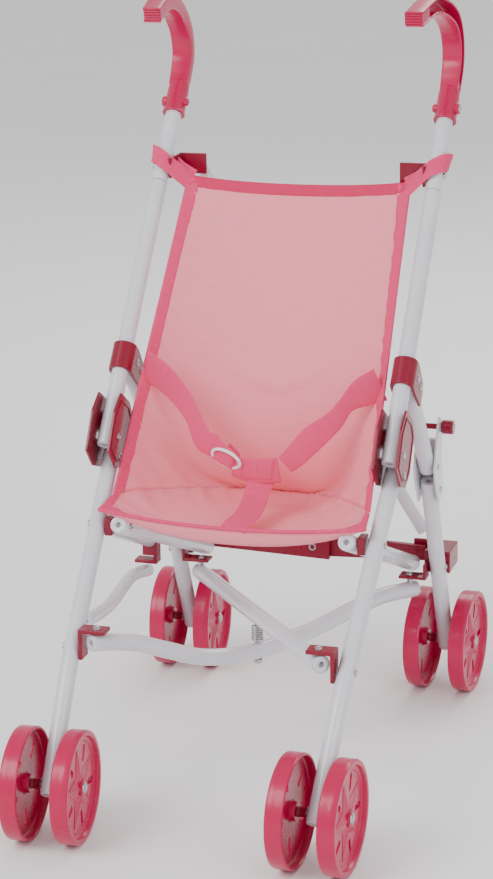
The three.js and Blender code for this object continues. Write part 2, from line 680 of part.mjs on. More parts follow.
function buildHarness() {
  const edge = (side, t) => {
    const p = slingTop.clone().lerp(slingLow, t);
    return at(side * (THREE.MathUtils.lerp(seatWidthTop, seatWidthBottom, t) / 2 - 8), p);
  };
  const buckle = ringPlace.clone().add(new THREE.Vector3(26, 0, 4));
  const left = [edge(-1, 0.58).add(new THREE.Vector3(0, -6, 0)),
    new THREE.Vector3(-62, buckle.y + 16, buckle.z + 22), ringPlace.clone().add(new THREE.Vector3(-8, 0, 6))];
  place('left_strap', strap(left, webbingWidth, new THREE.Vector3(0.5, 0.3, 0.8), webbingThickness),
    finish.webbing());
  const right = [edge(1, 0.58).add(new THREE.Vector3(0, -6, 0)),
    new THREE.Vector3(62, buckle.y + 16, buckle.z + 18), buckle.clone().add(new THREE.Vector3(15, 0, 2))];
  place('right_strap', strap(right, webbingWidth, new THREE.Vector3(-0.5, 0.3, 0.8), webbingThickness),
    finish.webbing());
  const front = new THREE.Vector3(-2, slingCorner.x + 6, slingCorner.y - slingFrontDrop + 3.2);
  const crotch = [front, front.clone().add(new THREE.Vector3(2, 34, 5)),
    buckle.clone().add(new THREE.Vector3(0, -2, -9))];
  place('crotch_strap', strap(crotch, webbingWidth, new THREE.Vector3(1, 0, 0), webbingThickness),
    finish.webbing());
  const ring = new THREE.TorusGeometry(10, 1.3, 8, 20);
  ring.scale(1.15, 0.75, 1);
  ring.rotateX(0.9);
  place('harness_ring', ring, finish.ring(), ringPlace.clone().add(new THREE.Vector3(0, -14, -6)));
}

// ---- Rigid stay outside the left front leg ----
const stayX = -(halfPush + 13);

function buildStay() {
  const legRear = (p) => at(-legX(p.y), p);
  const upper = linkFront.clone().add(new THREE.Vector2(7, -2.5));
  const rear = new THREE.Vector2(linkRear.x - 30, linkRear.y + 11);
  const lower = legKnee.clone().lerp(legTop, 0.22).add(new THREE.Vector2(8, -2));
  const start = legRear(upper).add(new THREE.Vector3(-7, 5, -4));
  const end = at(stayX, rear);
  const hook = new THREE.Vector3(stayX, rear.x + 4, rear.y - 4);
  const arm = join(
    box(hook.x - 6, hook.x + 6, hook.y - 5.5, hook.y + 5.5, hook.z - 8, hook.z + 8),
    box(hook.x - 13.5, hook.x + 6, hook.y - 5.5, hook.y + 5.5, hook.z - 15, hook.z - 12),
    box(hook.x + 3, hook.x + 6, hook.y - 5.5, hook.y + 5.5, hook.z - 15, hook.z));
  place('stay_tube', join(straightTube(start, end, 5, 5 - tubeWall), arm), finish.tube());
  const foot = legRear(lower).add(new THREE.Vector3(-3, 10, -9));
  const tail = new THREE.Vector3(hook.x - 3, hook.y - 1, hook.z - 15 - 5 - 6 * seatGap);
  const bend = [foot, foot.clone().lerp(tail, 0.35).add(new THREE.Vector3(0, 0, -2)),
    foot.clone().lerp(tail, 0.7).add(new THREE.Vector3(0, 0, 6)), tail];
  place('stay_brace', bentTube(bend, 8, 5, 5 - tubeWall), finish.tube());
}

// ---- Assembly ----
for (const side of [-1, 1]) {
  buildFrontLeg(side);
  buildRearLeg(side);
  buildWheels(side, 'front', frontAxle, frontTrack / 2);
  buildWheels(side, 'rear', rearAxle, halfPush);
  buildPushTube(side);
  buildHandle(side);
  buildHingeChannel(side);
  buildUpperClamp(side);
  buildStrut(side);
  buildLatch(side);
  buildSideLink(side);
  buildBraceBrackets(side);
  buildCrossbarClip(side);
  buildRearBrace(side);
}
buildLowerBraces();
buildCrossbar();
place('seat_back', sheet(slingBack(), fabricThickness), finish.fabric());
place('seat_pan', sheet(slingPan(), fabricThickness), finish.fabric());
buildHarness();
buildStay();

export default stroller;
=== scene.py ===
"""The looks of a doll stroller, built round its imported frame. Metres, +Z up, +Y to the rear."""
import json
import math

import bmesh
import bpy
from mathutils import Matrix, Quaternion, Vector


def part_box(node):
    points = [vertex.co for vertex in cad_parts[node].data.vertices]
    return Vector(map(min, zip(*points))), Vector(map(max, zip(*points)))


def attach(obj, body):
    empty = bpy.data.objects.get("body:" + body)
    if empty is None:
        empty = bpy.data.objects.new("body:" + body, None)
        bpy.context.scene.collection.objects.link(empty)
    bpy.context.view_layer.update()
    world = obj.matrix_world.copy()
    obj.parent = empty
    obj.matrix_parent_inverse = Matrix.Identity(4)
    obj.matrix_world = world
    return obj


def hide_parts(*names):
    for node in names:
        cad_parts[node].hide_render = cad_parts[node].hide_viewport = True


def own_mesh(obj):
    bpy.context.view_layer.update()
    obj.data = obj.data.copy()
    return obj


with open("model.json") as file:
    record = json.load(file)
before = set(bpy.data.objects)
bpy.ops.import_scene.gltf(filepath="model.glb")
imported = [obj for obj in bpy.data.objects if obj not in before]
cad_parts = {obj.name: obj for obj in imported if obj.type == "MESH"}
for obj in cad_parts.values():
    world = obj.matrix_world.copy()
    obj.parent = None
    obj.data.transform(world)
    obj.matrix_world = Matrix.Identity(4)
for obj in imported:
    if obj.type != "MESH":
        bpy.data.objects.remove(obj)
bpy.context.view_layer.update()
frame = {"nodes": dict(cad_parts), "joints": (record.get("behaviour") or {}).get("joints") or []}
joints = {joint["name"]: joint for joint in frame["joints"]}
SIDES = {"left": -1, "right": 1}
MM = 0.001

# ---- Sizes ----
TUBE = 6.35 * MM                 # radius of the main tubes
THIN = 5 * MM                    # radius of the rear braces and the stay
AXLE = 2.4 * MM
PUSH_SEAM = 223 * MM             # lower push tube's length
HANDLE_SEAT = 284 * MM           # where the sleeve starts, along the push tube
HANDLE_TUBE_END = 306 * MM
CLAMP_MIDDLE = 72.6 * MM
CHANNEL_OUT = 9.4 * MM           # outer face of the hinge channel from the tube's middle
LATCH_OUT = 8.6 * MM
CLOTH = 0.9 * MM
BINDING_WIDTH = 10.5 * MM
BINDING_THICK = 2.0 * MM
WEBBING_THICK = 1.3 * MM


def metres(pairs):
    """Pairs of millimetres, as metres."""
    return [(a * MM, b * MM) for a, b in pairs]


def add_object(name, data):
    made = bpy.data.objects.new(name, data)
    bpy.context.scene.collection.objects.link(made)
    return made


# ---- Places, from the frame ----
def joint_place(name):
    return Vector(joints[name]["pos_m"])


def axle_place(end, side_name):
    """The middle of a wheel pair's axle."""
    outer = joint_place(f"{end}_outer_{side_name}_spin")
    return (outer + joint_place(f"{end}_inner_{side_name}_spin")) / 2


fold = joint_place("fold_right")
latch = joint_place("rear_right_pivot")
front_axle = axle_place("front", "right")
rear_axle = axle_place("rear", "right")
PUSH = Vector((0, 0.631, 0.776)).normalized()
PUSH_BACK = Vector((0, PUSH.z, -PUSH.y))
REAR = (latch - rear_axle).normalized()
REAR_BACK = Vector((0, REAR.z, -REAR.y))
KNEE = Vector((0, 52, 66.5)) * MM            # from the front axle
LEG_RISE = 131.6 * MM                        # knee to the top, rearward and up alike


def on_push(side, up, back=0.0, out=0.0):
    """A point up along the push tube, back from its middle line and out from it."""
    p = fold + PUSH * (up - 8 * MM) + PUSH_BACK * back
    return Vector((side * (fold.x + out), p.y, p.z))


def on_rear(side, up, back=0.0, out=0.0):
    """A point by the rear leg, from the latch pivot."""
    p = latch + REAR * up + REAR_BACK * back
    return Vector((side * (latch.x + out), p.y, p.z))


def leg_x(z):
    top = front_axle.z + KNEE.z + LEG_RISE
    return front_axle.x + (fold.x - front_axle.x) * (z - front_axle.z) / (top - front_axle.z)


# ---- Camera ----
def make_camera():
    data = bpy.data.cameras.new("camera")
    data.lens = 101.6
    data.sensor_width = 36
    camera = add_object("camera", data)
    azimuth, down, roll = (math.radians(v) for v in (17.11, 15.92, -1.06))
    back = Vector((math.sin(azimuth) * math.cos(down), -math.cos(azimuth) * math.cos(down),
                   math.sin(down)))
    level = Vector((math.cos(azimuth), math.sin(azimuth), 0))
    above = back.cross(level)
    right = level * math.cos(roll) + above * math.sin(roll)
    up = above * math.cos(roll) - level * math.sin(roll)
    turn = Matrix((right, up, back)).transposed()
    camera.matrix_world = Matrix.Translation((0.5125, -1.6738, 0.7493)) @ turn.to_4x4()
    bpy.context.scene.camera = camera


def area_light(name, place, aim, size, power):
    data = bpy.data.lights.new(name, "AREA")
    data.shape = "RECTANGLE"
    data.size, data.size_y = size
    data.energy = power
    light = add_object(name, data)
    light.location = place
    light.rotation_mode = "QUATERNION"
    light.rotation_quaternion = (Vector(aim) - Vector(place)).to_track_quat("-Z", "Y")


# ---- Materials ----
def start_material(name, colour, roughness):
    """A material, its Principled shader, and its node tree."""
    material = bpy.data.materials.new(name)
    material.use_nodes = True
    shader = material.node_tree.nodes["Principled BSDF"]
    shader.inputs["Base Color"].default_value = (*colour, 1)
    shader.inputs["Roughness"].default_value = roughness
    return material, shader, material.node_tree


def node(tree, kind, **settings):
    made = tree.nodes.new(kind)
    for key, value in settings.items():
        if key in made.inputs:
            made.inputs[key].default_value = value
        else:
            setattr(made, key, value)
    return made


def noise(tree, vector, scale, detail=4.0):
    made = node(tree, "ShaderNodeTexNoise", Scale=scale, Detail=detail, Roughness=0.5)
    tree.links.new(vector, made.inputs["Vector"])
    return made.outputs["Fac"]


def ramp(tree, value, low, high):
    """Value mapped from 0..1 to low..high."""
    made = node(tree, "ShaderNodeMapRange")
    made.inputs["To Min"].default_value = low
    made.inputs["To Max"].default_value = high
    tree.links.new(value, made.inputs["Value"])
    return made.outputs["Result"]


def mix_colours(tree, share, first, second):
    made = tree.nodes.new("ShaderNodeMix")
    made.data_type = "RGBA"
    made.inputs["A"].default_value = (*first, 1)
    made.inputs["B"].default_value = (*second, 1)
    tree.links.new(share, made.inputs["Factor"])
    return made.outputs["Result"]


def bump(tree, shader, height, strength, distance):
    made = node(tree, "ShaderNodeBump", Strength=strength, Distance=distance)
    tree.links.new(height, made.inputs["Height"])
    tree.links.new(made.outputs["Normal"], shader.inputs["Normal"])


def hard_material(name, colour, shade, roughness, coat, grain, metallic=0.0):
    """Paint, plastic or metal with a faint grain and uneven gloss."""
    material, shader, tree = start_material(name, colour, roughness)
    shader.inputs["Metallic"].default_value = metallic
    shader.inputs["Coat Weight"].default_value = coat
    shader.inputs["Coat Roughness"].default_value = 0.08
    shader.inputs["Specular IOR Level"].default_value = 0.35
    place = tree.nodes.new("ShaderNodeTexCoord").outputs["Object"]
    broad = noise(tree, place, 28)
    tree.links.new(mix_colours(tree, broad, shade, colour), shader.inputs["Base Color"])
    tree.links.new(ramp(tree, noise(tree, place, 90, 6), roughness * 0.8, roughness * 1.3),
                   shader.inputs["Roughness"])
    bump(tree, shader, noise(tree, place, grain, 3), 0.12, 0.15 * MM)
    return material


def woven_material(name, colour, shade, threads, pattern):
    """Cloth whose threads run along the piece's own across and along lengths, in metres."""
    material, shader, tree = start_material(name, colour, 0.85)
    shader.inputs["Sheen Weight"].default_value = 0.12
    shader.inputs["Sheen Roughness"].default_value = 0.4
    shader.inputs["Specular IOR Level"].default_value = 0.25
    places = tree.nodes.new("ShaderNodeTexCoord")
    split = tree.nodes.new("ShaderNodeSeparateXYZ")
    tree.links.new(places.outputs["UV"], split.inputs["Vector"])

    def math_node(kind, a, b):
        made = node(tree, "ShaderNodeMath", operation=kind)
        for i, value in enumerate((a, b)):
            if isinstance(value, (int, float)):
                made.inputs[i].default_value = value
            elif value is not None:
                tree.links.new(value, made.inputs[i])
        return made.outputs[0]

    turns = 2 * math.pi * threads
    across = math_node("MULTIPLY", split.outputs["X"], turns)
    along = math_node("MULTIPLY", split.outputs["Y"], turns)
    if pattern == "plain":
        weave = math_node("MULTIPLY", math_node("SINE", across, None),
                          math_node("SINE", along, None))
    elif pattern == "twill":
        weave = math_node("SINE", math_node("ADD", across, along), None)
    else:
        weave = math_node("ADD", math_node("SINE", along, None),
                          math_node("MULTIPLY", math_node("SINE", across, None), 0.25))
    height = math_node("MULTIPLY_ADD", weave, 0.5)
    height.node.inputs[2].default_value = 0.5
    stretch = node(tree, "ShaderNodeMapping")
    stretch.inputs["Scale"].default_value = (60, 420, 60)
    tree.links.new(places.outputs["UV"], stretch.inputs["Vector"])
    slub = noise(tree, stretch.outputs["Vector"], 1.0, 3)
    # Colour: the weave's low parts are painted darker, as shade between the threads, mixed with the yarn's
    # own uneven slub tone.
    thread_shade_and_slub = math_node("ADD", math_node("MULTIPLY", height, 0.55), math_node("MULTIPLY", slub, 0.6))
    tree.links.new(mix_colours(tree, thread_shade_and_slub, shade, colour), shader.inputs["Base Color"])
    bump(tree, shader, math_node("ADD", height, slub), 0.35, 0.25 * MM)
    return material


PAINT = hard_material("tube_paint", (0.72, 0.72, 0.76), (0.60, 0.60, 0.66), 0.24, 0.5, 700)
PINK = hard_material("pink_plastic", (0.54, 0.002, 0.075), (0.44, 0.001, 0.055), 0.27, 0.12, 1100)
CRIMSON = hard_material("crimson_plastic", (0.25, 0.001, 0.024), (0.19, 0.001, 0.016),
                        0.27, 0.12, 1100)
STEEL = hard_material("steel", (0.55, 0.55, 0.57), (0.36, 0.36, 0.38), 0.24, 0.0, 500, 1.0)
WHITE = hard_material("white_plastic", (0.88, 0.86, 0.88), (0.80, 0.78, 0.81), 0.3, 0.3, 900)
CLOTH_PINK = woven_material("seat_cloth", (0.98, 0.310, 0.375), (0.90, 0.220, 0.285), 900, "plain")
TWILL = woven_material("twill_binding", (0.86, 0.075, 0.205), (0.62, 0.026, 0.110), 620, "twill")
HEM = woven_material("hem_binding", (0.72, 0.035, 0.130), (0.52, 0.014, 0.075), 620, "twill")
RIBBED = woven_material("ribbed_webbing", (0.84, 0.080, 0.205), (0.66, 0.036, 0.125), 900, "rib")


# ---- Mesh helpers ----
def make_piece(name, mesh, material, body, slot, *nodes, sharp=38):
    """A named object on its body, smooth except along edges sharper than the given angle."""
    piece = add_object(name, mesh)
    mesh.materials.clear()
    mesh.materials.append(material)
    for polygon in mesh.polygons:
        polygon.use_smooth = True
    mesh.set_sharp_from_angle(angle=math.radians(sharp))
    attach(piece, body)
    if nodes:
        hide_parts(*nodes)
    return piece


def mesh_from(build):
    """The mesh that a bmesh building function makes, with its faces pointing out."""
    work = bmesh.new()
    build(work)
    bmesh.ops.remove_doubles(work, verts=work.verts, dist=1e-6)
    bmesh.ops.recalc_face_normals(work, faces=work.faces)
    mesh = bpy.data.meshes.new("mesh")
    work.to_mesh(mesh)
    work.free()
    return mesh


def add_loft(work, rings, closed=False, capped=True):
    """Faces through rings of points that have the same number of corners."""
    made = [[work.verts.new(p) for p in ring] for ring in rings]
    pairs = list(zip(made, made[1:] + made[:1])) if closed else list(zip(made, made[1:]))
    for low, high in pairs:
        for j in range(len(low)):
            k = (j + 1) % len(low)
            work.faces.new((low[j], low[k], high[k], high[j]))
    if capped and not closed:
        work.faces.new(list(reversed(made[0])))
        work.faces.new(made[-1])


def direction(path, i):
    """The way a path runs at one of its points."""
    return (path[min(i + 1, len(path) - 1)] - path[max(i - 1, 0)]).normalized()


def circle(centre, first, second, radius, sides):
    return [centre + (first * math.cos(a) + second * math.sin(a)) * radius
            for a in (2 * math.pi * i / sides for i in range(sides))]


def smooth(points, per=8):
    """A rounded path through the points."""
    ends = [points[0] * 2 - points[1], *points, points[-1] * 2 - points[-2]]
    path = []
    for a, b, c, d in zip(ends, ends[1:], ends[2:], ends[3:]):
        for k in range(per):
            t = k / per
            path.append(0.5 * (2 * b + (c - a) * t + (2 * a - 5 * b + 4 * c - d) * t * t
                               + (3 * b - a - 3 * c + d) * t ** 3))
    path.append(points[-1].copy())
    return path


def carried(points):
    """Each point of a path with its direction and two directions square to it, without twist."""
    result = []
    first = None
    for i, point in enumerate(points):
        forward = direction(points, i)
        first = first or forward.orthogonal()
        first = (first - forward * first.dot(forward)).normalized()
        result.append((point, forward, first, forward.cross(first)))
    return result


# A tube end: a rounded lip, a flat plug and a small hole, as (depth in radii, radius share).
END = [(0.7, 0.05), (0.7, 0.30), (0.06, 0.34), (0.0, 0.42), (0.0, 0.80), (0.03, 0.92), (0.12, 0.985),
       (0.24, 1.0)]


def add_tube(work, points, radius, sides=28, end=END):
    """A tube along a path, with shaped ends."""
    stations = carried(points)
    rings = []
    start, forward, first, second = stations[0]
    for depth, share in end:
        rings.append(circle(start + forward * depth * radius, first, second, radius * share, sides))
    for point, _, first, second in stations[1:-1]:
        rings.append(circle(point, first, second, radius, sides))
    stop, forward, first, second = stations[-1]
    for depth, share in reversed(end):
        rings.append(circle(stop - forward * depth * radius, first, second, radius * share, sides))
    add_loft(work, rings)


def straight(a, b, count=3):
    return [a.lerp(b, i / (count - 1)) for i in range(count)]


def tube_piece(name, points, radius, body, node_name):
    mesh = mesh_from(lambda work: add_tube(work, points, radius))
    make_piece(name, mesh, PAINT, body, "tube", node_name)


def add_lathe(work, profile, origin, axis, sides=40, closed=False):
    """Profile points (radius, height) turned round an axis."""
    axis = axis.normalized()
    first = axis.orthogonal().normalized()
    second = axis.cross(first)
    rings = [circle(origin + axis * h, first, second, max(r, 1e-7), sides) for r, h in profile]
    add_loft(work, rings, closed, capped=not closed)


def lathe_piece(name, profile, origin, axis, material, body, slot, *nodes, sides=40, closed=False):
    mesh = mesh_from(lambda work: add_lathe(work, profile, origin, axis, sides, closed))
    make_piece(name, mesh, material, body, slot, *nodes)


def round_edges(piece, width, angle):
    """Rounds the edges sharper than an angle in degrees."""
    rounding = piece.modifiers.new("rounding", "BEVEL")
    rounding.width = width
    rounding.segments = 3
    rounding.limit_method = "ANGLE"
    rounding.angle_limit = math.radians(angle)
    return rounding


def refined(name, material, body, slot, node_name, bevel):
    """A CAD piece's own shape with rounded edges."""
    mesh = frame["nodes"][node_name].data.copy()
    work = bmesh.new()
    work.from_mesh(mesh)
    bmesh.ops.remove_doubles(work, verts=work.verts, dist=2e-5)
    bmesh.ops.dissolve_limit(work, angle_limit=math.radians(1), verts=work.verts, edges=work.edges)
    bmesh.ops.recalc_face_normals(work, faces=work.faces)
    work.to_mesh(mesh)
    work.free()
    mesh.normals_split_custom_set([(0, 0, 0)] * len(mesh.loops))
    piece = make_piece(name, mesh, material, body, slot, node_name)
    round_edges(piece, bevel, 30).harden_normals = True


# ---- Rivets and screws ----
RIVET = [(0.0, -0.6), (1.0, -0.6), (1.0, 0.10), (0.93, 0.26), (0.78, 0.34), (0.62, 0.32),
         (0.50, 0.16), (0.46, -0.25), (0.0, -0.30)]


def rivet(name, place, axis, body, radius=2.6 * MM):
    """A hollow rivet head whose face stands on the place given."""
    profile = [(r * radius, h * radius) for r, h in RIVET]
    lathe_piece(name, profile, place, Vector(axis), STEEL, body, "steel", sides=28)


def screw(name, place, axis, body, radius):
    """A domed screw head with a cross recess."""
    axis = Vector(axis).normalized()
    across = axis.orthogonal().normalized()

    def build(work):
        add_lathe(work, [(0, -0.5 * radius), (radius, -0.5 * radius), (radius, 0.15 * radius),
                         (0.85 * radius, 0.38 * radius), (0.4 * radius, 0.5 * radius),
                         (0, 0.52 * radius)], place, axis, 24)
        for turn in (0, math.pi / 2):
            arm = Quaternion(axis, turn) @ across
            side = axis.cross(arm)
            ring = [place + arm * x * radius + side * y * radius
                    for x, y in ((-0.6, -0.1), (0.6, -0.1), (0.6, 0.1), (-0.6, 0.1))]
            add_loft(work, [[p + axis * h * radius for p in ring] for h in (0.2, 0.56)])

    make_piece(name, mesh_from(build), STEEL, body, "steel")


# ---- Wheels ----
WHEEL_PROFILE = [
    (2.9, 6.2), (5.2, 6.2), (5.9, 5.7), (6.3, 2.9), (30.0, 2.6), (32.4, 2.8), (33.2, 3.7),
    (35.6, 4.0), (36.3, 5.9), (36.9, 6.4), (39.3, 6.5), (40.1, 6.1), (40.5, 5.2), (40.5, 1.6),
    (40.42, 0.0), (40.5, -1.6), (40.5, -5.4), (40.1, -6.2), (39.4, -6.5), (38.7, -6.3),
    (38.3, -5.4), (38.0, -1.0), (37.0, -0.2), (8.2, 0.0), (7.2, -0.8), (6.4, -4.4), (2.9, -4.5)]
STAR_POINTS = 5
STAR_REACH, STAR_WAIST, STAR_HUB = 29.5 * MM, 12.5 * MM, 6.0 * MM


def wheel_mesh():
    """A drum wheel round +Y, with a raised star and slots on the disc's outer side."""
    axis = Vector((0, 1, 0))

    def build(work):
        add_lathe(work, metres(WHEEL_PROFILE), Vector(), axis, 96, closed=True)

    def star(work):
        outline, hub = [], []
        for i in range(2 * STAR_POINTS):
            angle = math.pi * i / STAR_POINTS
            reach = STAR_WAIST if i % 2 else STAR_REACH
            ray = Vector((math.cos(angle), 0, math.sin(angle)))
            outline.append(ray * reach)
            hub.append((ray * STAR_HUB, (3.9 if i % 2 else 5.3) * MM))
        low, edge = 2.0 * MM, 3.0 * MM
        rings = [[p + axis * low for p, _ in hub], [p + axis * low for p in outline],
                 [p + axis * edge for p in outline], [p + axis * h for p, h in hub]]
        add_loft(work, rings, closed=True)

    drum = add_object("drum", mesh_from(build))
    slots = bmesh.new()
    for i in range(STAR_POINTS):
        angle = math.pi * (2 * i + 1) / STAR_POINTS
        ray = Vector((math.cos(angle), 0, math.sin(angle)))
        side = ray.cross(axis)
        outline = []
        for end, start in ((28.5, -90), (20.5, 90)):
            for k in range(9):
                turn = math.radians(start + 180 * k / 8)
                outline.append(ray * (end * MM + math.cos(turn) * 2.2 * MM)
                               + side * math.sin(turn) * 2.2 * MM)
        add_loft(slots, [[p + axis * h * MM for p in outline] for h in (-2, 5)])
    bmesh.ops.recalc_face_normals(slots, faces=slots.faces)
    cutter_mesh = bpy.data.meshes.new("slots")
    slots.to_mesh(cutter_mesh)
    slots.free()
    cutter = add_object("slots", cutter_mesh)
    cutting = drum.modifiers.new("slots", "BOOLEAN")
    cutting.operation = "DIFFERENCE"
    cutting.object = cutter
    cutting.solver = "EXACT"
    depsgraph = bpy.context.evaluated_depsgraph_get()
    cut = bmesh.new()
    cut.from_mesh(drum.evaluated_get(depsgraph).to_mesh())
    star(cut)
    bmesh.ops.recalc_face_normals(cut, faces=cut.faces)
    mesh = bpy.data.meshes.new("wheel")
    cut.to_mesh(mesh)
    cut.free()
    for helper in (drum, cutter):
        bpy.data.objects.remove(helper)
    return mesh


def build_wheels():
    mesh = wheel_mesh()
    for side_name, side in SIDES.items():
        for end in ("front", "rear"):
            outward = Vector(joints[f"{end}_outer_{side_name}_spin"]["axis"]).normalized()
            frame_body = f"{'frame' if end == 'front' else 'rear'}_{side_name}"
            for position, sign in (("outer", 1), ("inner", -1)):
                name = f"{end}_{position}_wheel_{side_name}"
                turn = Vector((0, 1, 0)).rotation_difference(outward * sign)
                placed = mesh.copy()
                placed.transform(
                    Matrix.Translation(joint_place(f"{end}_{position}_{side_name}_spin"))
                    @ turn.to_matrix().to_4x4() @ Matrix.Rotation(0.5 + 0.7 * side, 4, "Y"))
                make_piece(f"{name}_drum", placed, PINK, f"{end}_{position}_{side_name}",
                           "plastic", name, sharp=24)
            build_axle(end, side_name, outward, frame_body)


def build_axle(end, side_name, outward, body):
    middle = axle_place(end, side_name)
    half = 25.9 * MM
    lathe_piece(f"{end}_axle_{side_name}_rod", [
        (0, -half), (2.0 * MM, -half), (AXLE, -half + 0.5 * MM), (AXLE, half - 0.5 * MM),
        (2.0 * MM, half), (0, half)], middle, outward, STEEL, body, "steel",
        f"{end}_axle_{side_name}", sides=24)
    for sign in (-1, 1):
        tag = "outer" if sign > 0 else "inner"
        axis = outward * sign
        spacer = [(2.6, 6.9), (3.8, 6.9), (4.2, 7.3), (3.7, 8.1), (3.5, 12.9), (3.9, 13.5), (2.6, 13.5)]
        lathe_piece(f"{end}_spacer_{tag}_{side_name}", metres(spacer),
                    middle, axis, CRIMSON, body, "bracket", sides=28, closed=True)
        cap = [(0, 24.6), (3.9, 24.6), (4.2, 25.0), (3.8, 25.7), (2.6, 26.3), (0, 26.5)]
        lathe_piece(f"{end}_hub_cap_{tag}_{side_name}", metres(cap),
                    middle, axis, STEEL, body, "steel", sides=28)


# ---- Frame tubes ----
def front_leg_points(side):
    foot = KNEE.normalized()
    knee = Vector((0, front_axle.y, front_axle.z)) + KNEE
    top = knee + Vector((0, LEG_RISE, LEG_RISE))
    start = knee - KNEE - foot * 8 * MM
    bend = 16 * MM
    into, away = knee - foot * bend, knee + Vector((0, 1, 1)).normalized() * bend
    curve = [into * (1 - t) ** 2 + knee * 2 * t * (1 - t) + away * t * t
             for t in (i / 10 for i in range(11))]
    path = [*straight(start, into, 5)[:-1], *curve, *straight(away, top, 6)[1:]]
    return [Vector((side * leg_x(p.z), p.y, p.z)) for p in path]


def strut_points(side):
    foot = latch.copy()
    top = fold + PUSH * (CLAMP_MIDDLE - 9.4 * MM) + PUSH_BACK * 20.5 * MM
    along = (top - foot).normalized() * 4 * MM
    return [Vector((side * p.x, p.y, p.z)) for p in straight(foot - along, top + along)]


def link_points(side):
    front, rear = joint_place("link_right_pivot"), on_rear(1, -100 * MM)
    rear.x = front.x
    along = (rear - front).normalized() * 11 * MM
    return [Vector((side * p.x, p.y, p.z)) for p in straight(front - along, rear + along)]


def rear_brace_points(side_name):
    side = SIDES[side_name]
    top = joint_place(f"cross_{side_name}_pivot")
    bottom = Vector((-side * (fold.x - 14.5 * MM), top.y, 135 * MM))
    along = (bottom - top).normalized() * 4 * MM
    return straight(top - along, bottom)


BRACE_WAVE = (0, 0.16, 0.52, 0.88, 1.02, 1, 0.84, 0.6, 0.3, 0.06, 0)
BRACE_DIP = 28 * MM


def brace_points(side, dip):
    """A lower cross brace from the front bracket on one side to the rear bracket on the other."""
    front = joint_place("front_hanger_right_pivot")
    rear = joint_place("rear_hanger_right_pivot")
    start = Vector((side * front.x, front.y, front.z))
    end = Vector((-side * rear.x, rear.y, rear.z))
    along = (end - start).normalized() * 6 * MM
    inner = [start.lerp(end, i / 10) - Vector((0, 0, dip * share))
             for i, share in enumerate(BRACE_WAVE)]
    return smooth([start - along, *inner, end + along], 5)


def build_tubes():
    for side_name, side in SIDES.items():
        tube_piece(f"front_leg_{side_name}_tube", front_leg_points(side), TUBE,
                   f"frame_{side_name}", f"front_leg_{side_name}")
        rear_end = rear_axle - REAR * 8 * MM
        tube_piece(f"rear_leg_{side_name}_tube", straight(
            Vector((side * rear_end.x, rear_end.y, rear_end.z)), on_rear(side, -14 * MM)),
            TUBE, f"rear_{side_name}", f"rear_leg_{side_name}")
        push = f"push_{side_name}"
        tube_piece(f"push_tube_{side_name}_lower", straight(
            on_push(side, 0), on_push(side, PUSH_SEAM)), TUBE, push, f"push_tube_{side_name}")
        tube_piece(f"handle_tube_{side_name}_upper", straight(
            on_push(side, PUSH_SEAM + 0.3 * MM), on_push(side, HANDLE_TUBE_END)),
            TUBE, push, f"handle_tube_{side_name}")
        tube_piece(f"lock_strut_{side_name}_tube", strut_points(side), TUBE, push,
                   f"lock_strut_{side_name}")
        tube_piece(f"side_link_{side_name}_tube", link_points(side), TUBE,
                   f"link_{side_name}", f"side_link_{side_name}")
        tube_piece(f"rear_brace_{side_name}_tube", rear_brace_points(side_name), THIN,
                   f"cross_{side_name}", f"rear_brace_{side_name}")
    tube_piece("lower_brace_bent_tube", brace_points(-1, BRACE_DIP), TUBE, "lower_bent",
               "lower_brace_bent")
    tube_piece("lower_brace_straight_tube", brace_points(1, 0), TUBE, "lower_straight",
               "lower_brace_straight")


def build_centre_bolt():
    low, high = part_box("centre_bolt")
    x, y = (low.x + high.x) / 2, (low.y + high.y) / 2
    place = Vector((x, y, low.z))
    up = Vector((0, 0, 1))
    tall = high.z - low.z
    lathe_piece("centre_bolt_shank", [
        (0, 0), (1.6 * MM, 0), (2 * MM, 0.4 * MM), (2 * MM, tall - 0.3 * MM), (0, tall)],
        place, up, STEEL, "lower_bent", "steel", "centre_bolt", sides=24)
    lathe_piece("centre_bolt_nut", [
        (0, 1 * MM), (3.6 * MM, 1 * MM), (3.9 * MM, 1.4 * MM), (3.9 * MM, 3.1 * MM),
        (3.6 * MM, 3.5 * MM), (0, 3.5 * MM)], place, up, STEEL, "lower_bent", "steel", sides=6)
    low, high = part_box("bolt_spring")
    turns, per = 7, 20
    coil = [Vector((x + 4.0 * MM * math.cos(a), y + 4.0 * MM * math.sin(a), low.z + 0.7 * MM
                    + (high.z - low.z - 1.4 * MM) * i / (turns * per)))
            for i, a in ((i, 2 * math.pi * i / per) for i in range(turns * per + 1))]
    mesh = mesh_from(lambda work: add_tube(work, coil, 0.55 * MM, 10, [(0, 0.5), (0.3, 1.0)]))
    make_piece("bolt_spring_coil", mesh, STEEL, "lower_bent", "steel", "bolt_spring")


# ---- Handles ----
HOOK_STEPS = [(0, 0), (7, 10), (13.5, 24), (10, 42), (-4, 57), (-26, 67), (-52, 71), (-84, 65)]
HOOK_LEAN = 8 * MM


def hook_path(side):
    top = on_push(side, HANDLE_TUBE_END + 3 * MM)
    reach = HOOK_STEPS[-1][0]
    points = [Vector((top.x - side * HOOK_LEAN * min(0, y) / reach, top.y + y * MM, top.z + z * MM))
              for y, z in HOOK_STEPS]
    return smooth(points, 7)


